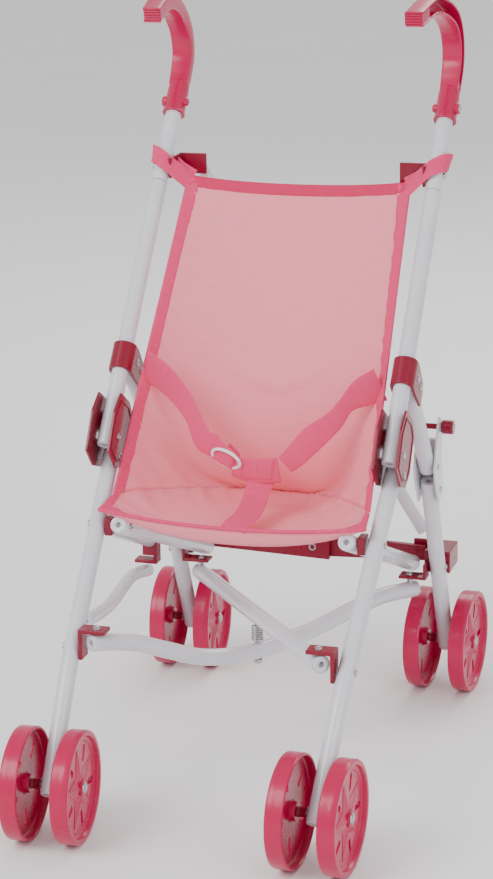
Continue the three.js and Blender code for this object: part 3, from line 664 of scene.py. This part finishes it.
def hook_section(side, floor, wide, deep):
    """Corners (x, depth) of a channel open to the outer side, in metres."""
    w, d, lip = wide / 2, deep / 2, 1.7 * MM
    inner = d - lip
    right = [(-w + 2.0 * MM, -d), (w - 0.6 * MM, -d), (w, -d + 0.5 * MM), (w, -inner - 0.3 * MM),
             (w - 0.4 * MM, -inner), (floor + 0.6 * MM, -inner), (floor, -inner + 0.7 * MM),
             (floor, inner - 0.7 * MM), (floor + 0.6 * MM, inner), (w - 0.4 * MM, inner),
             (w, inner + 0.3 * MM), (w, d - 0.5 * MM), (w - 0.6 * MM, d), (-w + 2.0 * MM, d),
             (-w + 0.6 * MM, d - 0.6 * MM), (-w, d - 2.0 * MM), (-w, -d + 2.0 * MM),
             (-w + 0.6 * MM, -d + 0.6 * MM)]
    return [(side * x, y) for x, y in right]


def build_handle(side_name):
    side = SIDES[side_name]
    path = hook_path(side)
    body = f"push_{side_name}"

    def build(work):
        rings = []
        last = len(path) - 1
        for i, p in enumerate(path):
            outward = Vector((1, 0, 0)).cross(direction(path, i)).normalized()
            t = i / last
            open_share = max(0.0, min(1.0, (t - 0.10) / 0.10, (0.93 - t) / 0.06))
            open_share = open_share * open_share * (3 - 2 * open_share)
            wide = (14.0 + 1.6 * math.sin(math.pi * t)) * MM
            deep = (11.6 + 1.0 * math.sin(math.pi * t)) * MM
            floor = (wide / 2 - 0.7 * MM) * (1 - open_share) - 3.4 * MM * open_share
            rings.append([p + Vector((x, 0, 0)) + outward * d
                          for x, d in hook_section(side, floor, wide, deep)])
        add_loft(work, rings)
        foot = on_push(side, HANDLE_SEAT)
        tall = HANDLE_TUBE_END + 8 * MM - HANDLE_SEAT
        sleeve = [(6.7, 0.0), (8.75, 0.0), (8.95, 0.5), (8.75, 1.3), (8.4, 2.0), (8.3, 22.0),
                  (7.6, 27.0), (5.0, tall / MM), (3.0, tall / MM), (6.7, 22.5)]
        add_lathe(work, metres(sleeve), foot, PUSH, 40, closed=True)

    make_piece(f"handle_{side_name}_hook", mesh_from(build), PINK, body, "plastic",
               f"handle_{side_name}", sharp=32)
    build_handle_details(side_name, side, body, path)


def build_handle_details(side_name, side, body, path):
    tip, before = path[-1], path[-4]
    forward = (tip - before).normalized()
    outward = Vector((1, 0, 0)).cross(forward).normalized()

    def ridges(work):
        for i in range(6):
            middle = tip + outward * (i - 2.5) * 2.0 * MM + forward * 0.1 * MM
            ends = straight(middle - Vector((6.6 * MM, 0, 0)), middle + Vector((6.6 * MM, 0, 0)))
            add_tube(work, ends, 0.75 * MM, 12, [(0, 0.3), (0.5, 1)])

    make_piece(f"handle_{side_name}_ridges", mesh_from(ridges), PINK, body, "plastic")
    boss_place = on_push(side, HANDLE_SEAT + 10.5 * MM, -1.0 * MM)
    out = Vector((side, 0, 0))
    boss = [(0, 6.5), (4.3, 6.5), (4.2, 9.4), (3.8, 10.2), (3.0, 10.2), (2.8, 9.5), (0, 9.5)]
    lathe_piece(f"handle_{side_name}_boss", metres(boss), boss_place, out,
                PINK, body, "plastic", sides=32)
    screw(f"handle_{side_name}_screw", boss_place + out * 9.7 * MM, out, body, 2.5 * MM)
    lug = [(0, 6.5), (3.4, 6.5), (3.3, 9.4), (2.7, 10.4), (1.4, 10.9), (0, 11.0)]
    lathe_piece(f"handle_{side_name}_lug", metres(lug), boss_place, -out,
                PINK, body, "plastic", sides=32)

    def seam(work):
        path_up = [on_push(side, HANDLE_SEAT + h * MM, -8.35 * MM) for h in (6, 12, 18, 23)]
        add_tube(work, path_up, 0.5 * MM, 10, [(0, 0.4), (0.5, 1)])

    make_piece(f"handle_{side_name}_seam", mesh_from(seam), PINK, body, "plastic")


# ---- Hinges, clamps and latches ----
def build_clamp(side_name):
    """A U-shaped band round the push tube whose ears hold the strut."""
    side = SIDES[side_name]
    inner, outer, reach = 6.65 * MM, 9.0 * MM, 29 * MM
    arc = [math.radians(90 + 180 * i / 20) for i in range(21)]
    shape = [(reach, outer), *[(outer * math.cos(a), outer * math.sin(a)) for a in arc],
             (reach, -outer), (reach, -inner),
             *[(inner * math.cos(a), inner * math.sin(a)) for a in reversed(arc)], (reach, inner)]
    low, high = CLAMP_MIDDLE - 13 * MM, CLAMP_MIDDLE + 10 * MM

    def build(work):
        rings = [[on_push(side, up, back, out) for back, out in shape] for up in (low, high)]
        add_loft(work, rings)
        slopes = [((10, 6), (4, 26)), ((4, 26), (-5, 29)), ((-15, 27), (-13, 9))]
        for start, end in slopes:
            a = on_push(side, CLAMP_MIDDLE + start[0] * MM, start[1] * MM)
            b = on_push(side, CLAMP_MIDDLE + end[0] * MM, end[1] * MM)
            normal = (b - a).cross(Vector((1, 0, 0)))
            middle = on_push(side, CLAMP_MIDDLE, 8 * MM)
            if normal.dot(middle - a) > 0:
                normal = -normal
            parts = work.verts[:] + work.edges[:] + work.faces[:]
            cut = bmesh.ops.bisect_plane(work, geom=parts, plane_co=a, plane_no=normal,
                                         clear_outer=True, dist=1e-7)
            edges = [e for e in cut["geom_cut"] if isinstance(e, bmesh.types.BMEdge)]
            bmesh.ops.holes_fill(work, edges=[e for e in edges if e.is_boundary])

    piece = make_piece(f"upper_clamp_{side_name}_band", mesh_from(build), CRIMSON,
                       f"push_{side_name}", "bracket", f"upper_clamp_{side_name}", sharp=30)
    round_edges(piece, 0.6 * MM, 35)
    for tag, up, back in (("front", 0.5, 9.2), ("rear", -1.4, 20.5)):
        for sign in (-1, 1):
            rivet(f"clamp_rivet_{tag}_{side_name}_{'out' if sign > 0 else 'in'}",
                  on_push(side, CLAMP_MIDDLE + up * MM, back * MM, sign * outer),
                  (side * sign, 0, 0), f"push_{side_name}", 2.7 * MM)


CHANNEL = [(-10, -14), (-14, 6), (-9, 20), (4, 26), (34, 21.5), (40, 8), (38, -12), (20, -18)]


def build_hinge(side_name):
    side = SIDES[side_name]
    body = f"frame_{side_name}"
    refined(f"hinge_channel_{side_name}_plates", CRIMSON, body, "bracket",
            f"hinge_channel_{side_name}", 0.55 * MM)
    for sign in (-1, 1):
        tag = "out" if sign > 0 else "in"
        face = sign * CHANNEL_OUT

        def rim(work):
            ring = [on_push(side, up * 0.82 * MM + 2.2 * MM, back * 0.82 * MM + 0.8 * MM, face)
                    for up, back in CHANNEL]
            path = [p for a, b in zip(ring, ring[1:] + ring[:1]) for p in straight(a, b, 4)[:-1]]
            add_loft(work, [circle(p, (p - on_push(side, 12 * MM, 4 * MM, face)).normalized(),
                                   Vector((side, 0, 0)), 0.75 * MM, 10) for p in path], closed=True)

        make_piece(f"hinge_rim_{side_name}_{tag}", mesh_from(rim), CRIMSON, body, "bracket")
        for spot, up, back in (("fold", 8, 0), ("leg", -3.5, 11)):
            rivet(f"hinge_rivet_{spot}_{side_name}_{tag}",
                  on_push(side, up * MM, back * MM, face), (side * sign, 0, 0), body, 2.9 * MM)


def build_latch(side_name):
    side = SIDES[side_name]
    body = f"rear_{side_name}"
    refined(f"latch_bracket_{side_name}_plates", PAINT, body, "tube",
            f"latch_bracket_{side_name}", 0.45 * MM)
    for sign in (-1, 1):
        tag = "out" if sign > 0 else "in"
        for spot, up in (("pivot", 0), ("leg", -22)):
            rivet(f"latch_rivet_{spot}_{side_name}_{tag}",
                  on_rear(side, up * MM, 0, sign * LATCH_OUT), (side * sign, 0, 0), body, 2.5 * MM)
    low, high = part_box(f"lock_pin_{side_name}")
    place = (low + high) / 2
    place.x = side * fold.x
    knob = [(0, -10.6), (1.8, -10.6), (2.2, -10.2), (2.2, 10.1), (4.9, 10.1), (5.3, 10.6), (5.5, 12.0),
            (5.3, 13.0), (5.5, 14.0), (5.3, 15.2), (5.5, 16.4), (5.3, 18.2), (4.8, 18.9), (3.6, 19.0),
            (3.4, 18.5), (0, 18.5)]
    lathe_piece(f"lock_pin_{side_name}_knob", metres(knob), place,
                Vector((side, 0, 0)), CRIMSON, f"lock_{side_name}", "bracket",
                f"lock_pin_{side_name}", sides=36)
    rivet(f"lock_pin_{side_name}_cap", place + Vector((side * 18.6 * MM, 0, 0)), (side, 0, 0),
          f"lock_{side_name}", 3.4 * MM)
    ring = [(2.4, 8.6), (3.9, 8.6), (4.1, 8.9), (4.1, 9.7), (3.8, 10.0), (2.4, 10.0)]
    lathe_piece(f"lock_collar_{side_name}", metres(ring), place,
                Vector((side, 0, 0)), STEEL, body, "steel", sides=28, closed=True)


# ---- Brackets, crossbar and clips ----
def build_brackets(side_name):
    side = SIDES[side_name]
    out = Vector((side, 0, 0))
    for node_name, body, bevel in (
            (f"front_bracket_{side_name}", f"front_hanger_{side_name}", 0.7),
            (f"rear_bracket_{side_name}", f"rear_hanger_{side_name}", 0.7),
            (f"link_spacer_{side_name}", f"frame_{side_name}", 0.9),
            (f"crossbar_clip_{side_name}", f"rear_{side_name}", 1.1),
            (f"brace_bracket_{side_name}", f"top_hanger_{side_name}", 0.5)):
        refined(f"{node_name}_body", CRIMSON, body, "bracket", node_name, bevel * MM)
    for end, arm_top in (("front", 4.4), ("rear", 6.5)):    # above the brace
        pivot = joint_place(f"{end}_hanger_{side_name}_pivot")
        top = pivot.z + TUBE + arm_top * MM
        hanger = f"{end}_hanger_{side_name}"
        rivet(f"{end}_bracket_bolt_{side_name}", Vector((pivot.x, pivot.y, top)), (0, 0, 1),
              hanger, 3.0 * MM)
        shank = [(0, 0), (2.4 * MM, 0), (2.4 * MM, top - pivot.z), (0, top - pivot.z)]
        lathe_piece(f"{end}_bracket_shank_{side_name}", shank, pivot, Vector((0, 0, 1)), STEEL,
                    hanger, "steel", sides=20)
    bracket_z = sum(c.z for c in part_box(f"front_bracket_{side_name}")) / 2 - 5 * MM
    leg_y = front_leg_y(bracket_z)
    rivet(f"front_bracket_rivet_{side_name}", Vector((side * (leg_x(bracket_z) + TUBE), leg_y, bracket_z)),
          out, f"frame_{side_name}")
    link = joint_place("link_right_pivot")
    rivet(f"link_rivet_{side_name}", Vector((side * (leg_x(link.z) + TUBE), link.y, link.z)), out,
          f"frame_{side_name}")
    rivet(f"link_rivet_inner_{side_name}", Vector((side * (link.x - TUBE), link.y, link.z)), -out,
          f"link_{side_name}")
    rivet(f"rear_leg_rivet_{side_name}", on_rear(side, -102 * MM, 0, TUBE), out, f"rear_{side_name}")
    rivet(f"push_rivet_{side_name}", on_push(side, 237 * MM, 0, TUBE), out, f"push_{side_name}", 3.0 * MM)
    cross = joint_place(f"cross_{side_name}_pivot")
    rivet(f"rear_brace_rivet_{side_name}", cross + Vector((0, THIN, 0)), (0, 1, 0),
          f"cross_{side_name}", 2.4 * MM)


def front_leg_y(z):
    """The front leg's middle line at a height between its foot and its knee or above."""
    knee_y, knee_z = front_axle.y + KNEE.y, front_axle.z + KNEE.z
    if z > knee_z:
        return knee_y + z - knee_z
    return front_axle.y + KNEE.y * (z - front_axle.z) / KNEE.z


def build_crossbar():
    for side_name in SIDES:
        refined(f"crossbar_{side_name}_channel", CRIMSON, f"bar_{side_name}", "bracket",
                f"crossbar_{side_name}", 0.5 * MM)
        pivot = joint_place(f"bar_{side_name}_pivot")
        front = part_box(f"crossbar_{side_name}")[0].y
        rivet(f"crossbar_pivot_rivet_{side_name}", Vector((pivot.x, front + 3.6 * MM, pivot.z)),
              (0, -1, 0), f"bar_{side_name}", 2.5 * MM)
    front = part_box("crossbar_left")[0].y
    middle = Vector((0, front + 3.5 * MM, joint_place("bar_left_pivot").z))
    boss = [(0, -1), (6.2, -1), (6.4, 1.6), (6.0, 3.2), (5.4, 3.6), (4.9, 3.3), (4.7, 2.8), (0, 2.8)]
    lathe_piece("crossbar_centre_boss", metres(boss), middle,
                Vector((0, -1, 0)), CRIMSON, "bar_left", "bracket", sides=40)
    rivet("crossbar_centre_rivet", middle - Vector((0, 3.0 * MM, 0)), (0, -1, 0), "bar_left", 3.2 * MM)

    def ribs(work):
        low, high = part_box("crossbar_left")
        for shift in (-3.5, 3.5):
            add_tube(work, straight(Vector((low.x + 9 * MM, front + 3.4 * MM, middle.z + shift * 0.6 * MM)),
                                    Vector((high.x - 14 * MM, front + 3.4 * MM, middle.z + shift * MM))),
                     0.8 * MM, 10, [(0, 0.3), (0.5, 1)])

    make_piece("crossbar_left_ribs", mesh_from(ribs), CRIMSON, "bar_left", "bracket")


# ---- The stay outside the left leg ----
def build_stay():
    low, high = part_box("stay_tube")
    brace_low, brace_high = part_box("stay_brace")
    hook_x, hook_y, hook_z = low.x + 13.5 * MM, high.y - 5.5 * MM, low.z + 15 * MM
    start = Vector((high.x - 4.6 * MM, low.y + 4.3 * MM, high.z - 4.6 * MM))
    end = Vector((hook_x, hook_y - 4 * MM, hook_z + 4 * MM))
    tube_piece("stay_tube_bar", straight(start, end), THIN, "frame_left", "stay_tube")

    def hook(work):
        blocks = (((-6, 6), (-8, 7)), ((-13, 6), (-15, -12)), ((3, 6), (-12.2, -7.8)))
        for (x0, x1), (z0, z1) in blocks:
            corners = [(x0, z0), (x1, z0), (x1, z1), (x0, z1)]
            add_loft(work, [[Vector((hook_x + x * MM, hook_y + y * MM, hook_z + z * MM))
                             for x, z in corners] for y in (-5.5, 5.5)])

    piece = make_piece("stay_hook", mesh_from(hook), CRIMSON, "frame_left", "bracket")
    round_edges(piece, 0.6 * MM, 40)
    foot = Vector((brace_high.x - 4.8 * MM, brace_low.y + 5 * MM, brace_high.z - 4.8 * MM))
    tail = Vector((hook_x - 3 * MM, hook_y - 1 * MM, hook_z - 21.8 * MM))
    bend = [foot, foot.lerp(tail, 0.35) - Vector((0, 0, 2 * MM)),
            foot.lerp(tail, 0.7) + Vector((0, 0, 6 * MM)), tail]
    tube_piece("stay_brace_bar", smooth(bend, 8), THIN, "frame_left", "stay_brace")


# ---- Fabric sling ----
SEAT_TOP = on_push(1, 233 * MM, 6 * MM)
SEAT_LOW = fold + Vector((0, -20, -38)) * MM
SEAM_MIDDLE = SEAT_LOW + Vector((0, 92, -14)) * MM
CORNER = joint_place("link_right_pivot") + Vector((0, -12, 15)) * MM
TOP_HALF, LOW_HALF = 88 * MM, 97 * MM
FRONT_DROP = 7 * MM
EASE = 0.022                     # the cloth is cut this much larger than the sling's straight shape
BACK_ROWS, PAN_ROWS, COLUMNS = 56, 26, 56


def sling_point(row, column):
    """The stretched sling before it settles: rows run down the back, then out to the front edge."""
    s = 2 * column / COLUMNS - 1
    belly = 1 - abs(s) ** 2.4
    if row <= BACK_ROWS:
        t = row / BACK_ROWS
        edge = SEAT_TOP.lerp(SEAT_LOW, t)
        first = SEAT_TOP + Vector((0, -4, -4)) * MM
        control = SEAT_TOP.lerp(SEAT_LOW, 0.78) + Vector((0, 18, -24)) * MM
        middle = first * (1 - t) ** 2 + control * 2 * t * (1 - t) + SEAM_MIDDLE * t * t
        p = edge.lerp(middle, belly)
        return Vector((s * (TOP_HALF + (LOW_HALF - TOP_HALF) * t), p.y, p.z))
    t = (row - BACK_ROWS) / PAN_ROWS
    seam = sling_point(BACK_ROWS, column)
    front = Vector((s * (LOW_HALF + 3 * MM), CORNER.y, CORNER.z - FRONT_DROP * (1 - s * s)))
    return seam.lerp(front, t)


def cut_sling():
    """The sling as it is sewn, before it hangs."""
    rows = BACK_ROWS + PAN_ROWS + 1
    return [[sling_point(r, c) for c in range(COLUMNS + 1)] for r in range(rows)]


def grid_faces(rows, width):
    return [(r * width + c, r * width + c + 1, (r + 1) * width + c + 1, (r + 1) * width + c)
            for r in range(rows - 1) for c in range(width - 1)]


def settle_sling(points):
    """The sling as cloth, held at its four edges and lightly at the seam, after it has hung."""
    rows = len(points)
    flat = [p for row in points for p in row]
    width = COLUMNS + 1
    mesh = bpy.data.meshes.new("sling")
    mesh.from_pydata(flat, [], grid_faces(rows, width))
    cloth = add_object("sling", mesh)
    held = cloth.vertex_groups.new(name="held")
    for r in range(rows):
        for c in range(width):
            if c in (0, COLUMNS) or r in (0, rows - 1):
                held.add([r * width + c], 1.0, "REPLACE")
            elif r == BACK_ROWS:
                held.add([r * width + c], 0.4, "REPLACE")
    settings = cloth.modifiers.new("cloth", "CLOTH").settings
    settings.vertex_group_mass = "held"
    settings.quality = 7
    settings.mass = 0.12
    settings.tension_stiffness = 30
    settings.compression_stiffness = 18
    settings.shear_stiffness = 8
    settings.bending_stiffness = 0.25
    settings.shrink_min = -EASE
    settings.shrink_max = -EASE
    scene = bpy.context.scene
    for step in range(1, 31):
        scene.frame_set(step)
    settled = cloth.evaluated_get(bpy.context.evaluated_depsgraph_get()).to_mesh()
    limit = 9 * MM               # no point moves further than this
    result = []
    for r in range(rows):
        result.append([])
        for c in range(width):
            start = points[r][c]
            move = settled.vertices[r * width + c].co - start
            if move.length > limit:
                move = move.normalized() * limit
            result[r].append(start + move)
    bpy.data.objects.remove(cloth)
    scene.frame_set(1)
    return result


def lengths(points):
    """Distance along a row of points, from its start."""
    total, result = 0.0, [0.0]
    for a, b in zip(points, points[1:]):
        total += (b - a).length
        result.append(total)
    return result


def grid_mesh(rows):
    """A mesh through a grid of points, with its across and along lengths as texture places."""
    mesh = bpy.data.meshes.new("cloth")
    width = len(rows[0])
    mesh.from_pydata([p for row in rows for p in row], [], grid_faces(len(rows), width))
    across = [lengths(row) for row in rows]
    along = [lengths([row[c] for row in rows]) for c in range(width)]
    layer = mesh.uv_layers.new(name="weave")
    for loop in mesh.loops:
        r, c = divmod(loop.vertex_index, width)
        layer.data[loop.index].uv = (across[r][c] - across[r][-1] / 2, along[c][r])
    return mesh


def soften(piece):
    """Gives the piece its own copy of its mesh."""
    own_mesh(piece)


def cloth_piece(name, rows, body, *nodes):
    piece = make_piece(name, grid_mesh(rows), CLOTH_PINK, body, "fabric", *nodes, sharp=180)
    shell = piece.modifiers.new("thickness", "SOLIDIFY")
    shell.thickness = CLOTH
    shell.offset = 0
    soften(piece)
    return piece


def lay_weave(mesh, path, across):
    """Texture places of a strip, in metres: out from its path, which across gives, and along it."""
    along = lengths(path)
    layer = mesh.uv_layers.new(name="weave")
    nearest = [min(range(len(path)), key=lambda k: (path[k] - v.co).length_squared)
               for v in mesh.vertices]
    for loop in mesh.loops:
        i = nearest[loop.vertex_index]
        forward = direction(path, i)
        offset = mesh.vertices[loop.vertex_index].co - path[i]
        layer.data[loop.index].uv = (across(i, forward, offset), along[i] + offset.dot(forward))


def ribbon_piece(name, path, across, width, thick, material, body, *nodes, bulge, squashed=True):
    """A flat strip: across and width give its width's direction and size at each point of the path."""
    profile = [(-1, 0), (-0.96, 0.5), (-0.8, 0.85), (-0.4, 1), (0, 1 + bulge), (0.4, 1), (0.8, 0.85),
               (0.96, 0.5), (1, 0), (0.96, -0.5), (0.8, -0.85), (0, -1), (-0.8, -0.85), (-0.96, -0.5)]

    def sideways(i, forward):
        return (across[i] - forward * across[i].dot(forward)).normalized()

    rings = []
    for i, p in enumerate(path):
        forward = direction(path, i)
        side = sideways(i, forward)
        up = side.cross(forward)
        half = width[i] / 2
        rings.append([p + side * x * half + up * y * thick / 2 for x, y in profile])
    mesh = mesh_from(lambda work: add_loft(work, rings))
    lay_weave(mesh, path, lambda i, forward, offset: offset.dot(sideways(i, forward)))
    piece = make_piece(name, mesh, material, body, "webbing", *nodes, sharp=60)
    if squashed:
        soften(piece)


def edge_strip(name, lines, material, body, width=BINDING_WIDTH, thick=BINDING_THICK):
    """Binding folded over a cloth edge. lines run along the edge, from it inwards, on the cloth."""
    proud = 0.9 * MM
    rings = []
    for i in range(len(lines[0])):
        inwards = [line[i] for line in lines]
        run = lengths(inwards)
        along = lines[0][min(i + 1, len(lines[0]) - 1)] - lines[0][max(i - 1, 0)]
        start = (inwards[1] - inwards[0]).normalized()
        upper, lower = [], []
        for share in (0, 0.06, 0.25, 0.5, 0.75, 0.94, 1):
            reach = width * share - proud
            k = max(j for j in range(len(run) - 1) if run[j] <= max(reach, 0))
            part = (max(reach, 0) - run[k]) / (run[k + 1] - run[k])
            spot = inwards[k].lerp(inwards[k + 1], part) + start * min(reach, 0)
            normal = (inwards[k + 1] - inwards[k]).cross(along).normalized()
            round_off = 0.55 if share in (0, 1) else 1
            upper.append(spot + normal * thick / 2 * round_off)
            lower.append(spot - normal * thick / 2 * round_off)
        rings.append(upper + lower[::-1])

    def across(i, forward, offset):
        side = offset - forward * offset.dot(forward)
        return side.length if side.dot(lines[-1][i] - lines[0][i]) > 0 else -side.length

    mesh = mesh_from(lambda work: add_loft(work, rings))
    lay_weave(mesh, [ring[3] for ring in rings], across)
    piece = make_piece(name, mesh, material, body, "webbing", sharp=70)
    soften(piece)
    return piece


def flat_size(rows):
    """Widest width, length down the middle, and area of a grid of cloth."""
    width = max(lengths(row)[-1] for row in rows)
    column = len(rows[0]) // 2
    length = lengths([row[column] for row in rows])[-1]
    area = 0.0
    for low, high in zip(rows, rows[1:]):
        for c in range(len(low) - 1):
            area += ((low[c + 1] - low[c]).cross(high[c] - low[c])).length / 2
            area += ((high[c] - high[c + 1]).cross(low[c + 1] - high[c + 1])).length / 2
    return width, length, area


def build_sling():
    cut = cut_sling()
    rows = settle_sling(cut)
    back, pan = rows[:BACK_ROWS + 1], rows[BACK_ROWS:]
    patterns = {"back": cut[:BACK_ROWS + 1], "pan": cut[BACK_ROWS:]}
    back_piece = cloth_piece("seat_back_cloth", back, "push_left", "seat_back")
    pan_piece = cloth_piece("seat_pan_cloth", pan, "link_left", "seat_pan")
    trims = {"back": [], "pan": []}
    depth = 6                    # lines of cloth under a binding
    for side_name, columns in (("left", range(depth)),
                               ("right", range(COLUMNS, COLUMNS - depth, -1))):
        trims["back"].append(edge_strip(
            f"back_binding_{side_name}", [[row[c] for row in back] for c in columns],
            TWILL, "push_left"))
        trims["pan"].append(edge_strip(
            f"pan_binding_{side_name}", [[row[c] for row in pan[2:]] for c in columns],
            TWILL, "link_left", 8 * MM))
    trims["back"].append(edge_strip("top_hem", back[:depth], HEM, "push_left", 9 * MM))
    trims["pan"].append(edge_strip("front_binding", pan[::-1][:depth], TWILL, "link_left",
                                   9.5 * MM, 2.5 * MM))
    trims["pan"].append(build_front_flap(pan[-1]))
    for piece, name, rests in ((back_piece, "back", "push_tube_left_lower"),
                               (pan_piece, "pan", "side_link_left_tube")):
        width, length, area = flat_size(patterns[name])
    return back


def build_front_flap(front):
    """The fabric that hangs under the front binding, in the seat's own cloth."""
    rows = []
    count = len(front) - 1
    for k in range(7):
        t = k / 6
        row = []
        for c, p in enumerate(front):
            s = 2 * c / count - 1
            drop = (12.5 * (1 - abs(s) ** 2.6)) * MM
            row.append(p + Vector((0, (1.5 + 5 * t * t) * MM, -1.5 * MM - drop * t)))
        rows.append(row)
    return cloth_piece("front_flap", rows, "link_left")


def build_corner_ties(back):
    """Each top corner's binding runs round the push tube and back."""
    for side_name, side in SIDES.items():
        corner = back[0][0 if side < 0 else -1] + Vector((0, -1.5 * MM, -2 * MM))
        turns = [(236, -7.6, -6.0), (240, -9.0, 0.5), (245, -5.8, 6.9), (249, 0.5, 9.0),
                 (250, 6.5, 6.2), (247, 8.8, 0.0), (243, 6.2, -6.4), (238, 3.5, -12.0)]
        loop = [on_push(side, up * MM, b * MM, o * MM) for up, b, o in turns]
        end = corner + Vector((-side * 3 * MM, 2 * MM, 1 * MM))
        points = [corner + Vector((-side * 4 * MM, -1 * MM, -4 * MM)), *loop, end]
        path = smooth(points, 6)
        lean = PUSH * 0.9 + Vector((-side * 0.45, 0, 0))
        across = [lean.lerp(PUSH + Vector((side * 0.2, 0, 0)), math.sin(math.pi * i / (len(path) - 1)))
                  for i in range(len(path))]
        ribbon_piece(f"corner_tie_{side_name}", path, across, [13 * MM] * len(path), 1.5 * MM, TWILL,
                     f"push_{side_name}", bulge=0.5, squashed=False)


# ---- Harness ----
def strap(name, points, widths, across, *nodes, body="push_left", thick=WEBBING_THICK):
    """Webbing through points in millimetres, with its width and width direction at each."""
    path = smooth([Vector(p) * MM for p in points], 8)
    turned = [d.normalized() for d in smooth([Vector(d).normalized() for d in across], 8)]
    wide = [v.x for v in smooth([Vector((w * MM, 0, 0)) for w in widths], 8)]
    ribbon_piece(name, path, turned, wide, thick, RIBBED, body, *nodes, bulge=0.1)


def build_harness():
    strap("left_strap_web",
          [(-91, 34, 292), (-76, 28, 286), (-60, 22, 273), (-49, 17, 259), (-40, 12, 244),
           (-30, 10, 240)],
          [27, 22, 17, 13.5, 17, 17],
          [(0.05, 0.1, -1), (-0.35, 0.1, -1), (-0.8, 0.1, -0.7), (-0.95, 0.1, -0.45),
           (-0.75, 0.0, -0.75), (-0.45, -0.1, -0.9)], "left_strap")
    strap("left_strap_loop",
          [(-31, 9.0, 240), (-24, 5.5, 236.5), (-17, 4.5, 232.5), (-13.5, 7.5, 230.0),
           (-17, 11.5, 231.5), (-24, 12.2, 236.5)],
          [16, 15, 13.5, 13, 13.5, 15], [(-0.45, -0.1, -0.9)] * 6)
    strap("right_strap_web",
          [(90, 35, 288), (77, 30, 282), (66, 25, 273), (58, 20, 262), (44, 14, 250), (31, 10, 236),
           (24, 8, 230)],
          [27, 22, 13, 15, 19, 17, 15],
          [(0.1, 0.1, -1), (0.35, 0.1, -1), (0.75, 0.3, -0.8), (0.75, 0.1, -0.75), (0.6, 0, -0.9),
           (0.65, 0, -0.8), (0.6, 0.2, -0.8)], "right_strap")
    strap("buckle_band",
          [(-16, 7.5, 226), (-9, 6.2, 225.2), (0, 5.5, 224.2), (10, 5.2, 224.8), (20, 5.8, 226.2)],
          [15, 17, 19, 19.5, 19], [(-0.1, 0, -1)] * 3 + [(0.02, 0, -1)] * 2, thick=2.4 * MM)
    strap("crotch_strap_web",
          [(9, 7.5, 222), (5, 4, 213), (4.5, -6, 205.5), (5.5, -26, 201.5), (3.5, -44, 199.6),
           (2, -52, 197)],
          [19, 19, 19, 19.5, 20, 20], [(1, 0.05, -0.1)] * 6, "crotch_strap", body="link_left")

    def ring(work):
        middle = Vector((-20.5, 5.5, 232.5)) * MM
        first = Vector((0.95, -0.1, -0.32)).normalized()
        second = Vector((0.2, -0.35, 0.9)).normalized()
        path = [middle + first * math.cos(a) * 11.5 * MM + second * math.sin(a) * 6.8 * MM
                for a in (2 * math.pi * i / 64 for i in range(64))]
        normal = first.cross(second).normalized()
        add_loft(work, [circle(p, (p - middle).normalized(), normal, 1.35 * MM, 16) for p in path],
                 closed=True)

    soften(make_piece("harness_ring_oval", mesh_from(ring), WHITE, "push_left", "ring", "harness_ring"))
    build_stitching()


def build_stitching():
    """Stitch lines across the folded band."""
    def build(work):
        for start, end in (((-5.5, 3.9, 233), (-9.5, 4.3, 218.5)), ((17, 3.7, 235), (14, 3.7, 218)),
                           ((-7, 4.0, 218.8), (13, 3.8, 219.2))):
            a, b = Vector(start) * MM, Vector(end) * MM
            count = int((b - a).length / (1.7 * MM))
            for i in range(count):
                ends = straight(a.lerp(b, i / count), a.lerp(b, (i + 0.6) / count))
                add_tube(work, ends, 0.22 * MM, 6, [(0, 0.4), (0.6, 1)])

    soften(make_piece("band_stitching", mesh_from(build), HEM, "push_left", "webbing"))


# ---- Floor and light ----
def build_studio():
    mesh = bpy.data.meshes.new("floor")
    size = 6.0
    mesh.from_pydata([(-size, -size, 0), (size, -size, 0), (size, size, 0), (-size, size, 0)], [],
                     [(0, 1, 2, 3)])
    floor = add_object("floor", mesh)
    material, shader, tree = start_material("floor", (0.90, 0.90, 0.90), 0.7)
    place = tree.nodes.new("ShaderNodeTexCoord").outputs["Object"]
    tree.links.new(mix_colours(tree, noise(tree, place, 3), (0.88, 0.88, 0.88), (0.92, 0.92, 0.92)),
                   shader.inputs["Base Color"])
    mesh.materials.append(material)
    world = bpy.data.worlds.new("studio")
    world.use_nodes = True
    world.node_tree.nodes["Background"].inputs["Color"].default_value = (1, 1, 1, 1)
    world.node_tree.nodes["Background"].inputs["Strength"].default_value = 0.9
    bpy.context.scene.world = world
    middle = (0, 0, 0.28)
    area_light("key", (-1.1, -1.5, 1.7), middle, (1.2, 1.2), 34)
    area_light("fill", (1.6, -1.2, 1.1), middle, (1.4, 1.4), 14)
    area_light("rim", (0.3, 1.7, 1.5), middle, (1.4, 0.8), 18)


make_camera()
build_studio()
build_wheels()
build_tubes()
build_centre_bolt()
for side_name in SIDES:
    build_handle(side_name)
    build_clamp(side_name)
    build_hinge(side_name)
    build_latch(side_name)
    build_brackets(side_name)
build_crossbar()
build_stay()
seat_back = build_sling()
build_corner_ties(seat_back)
build_harness()
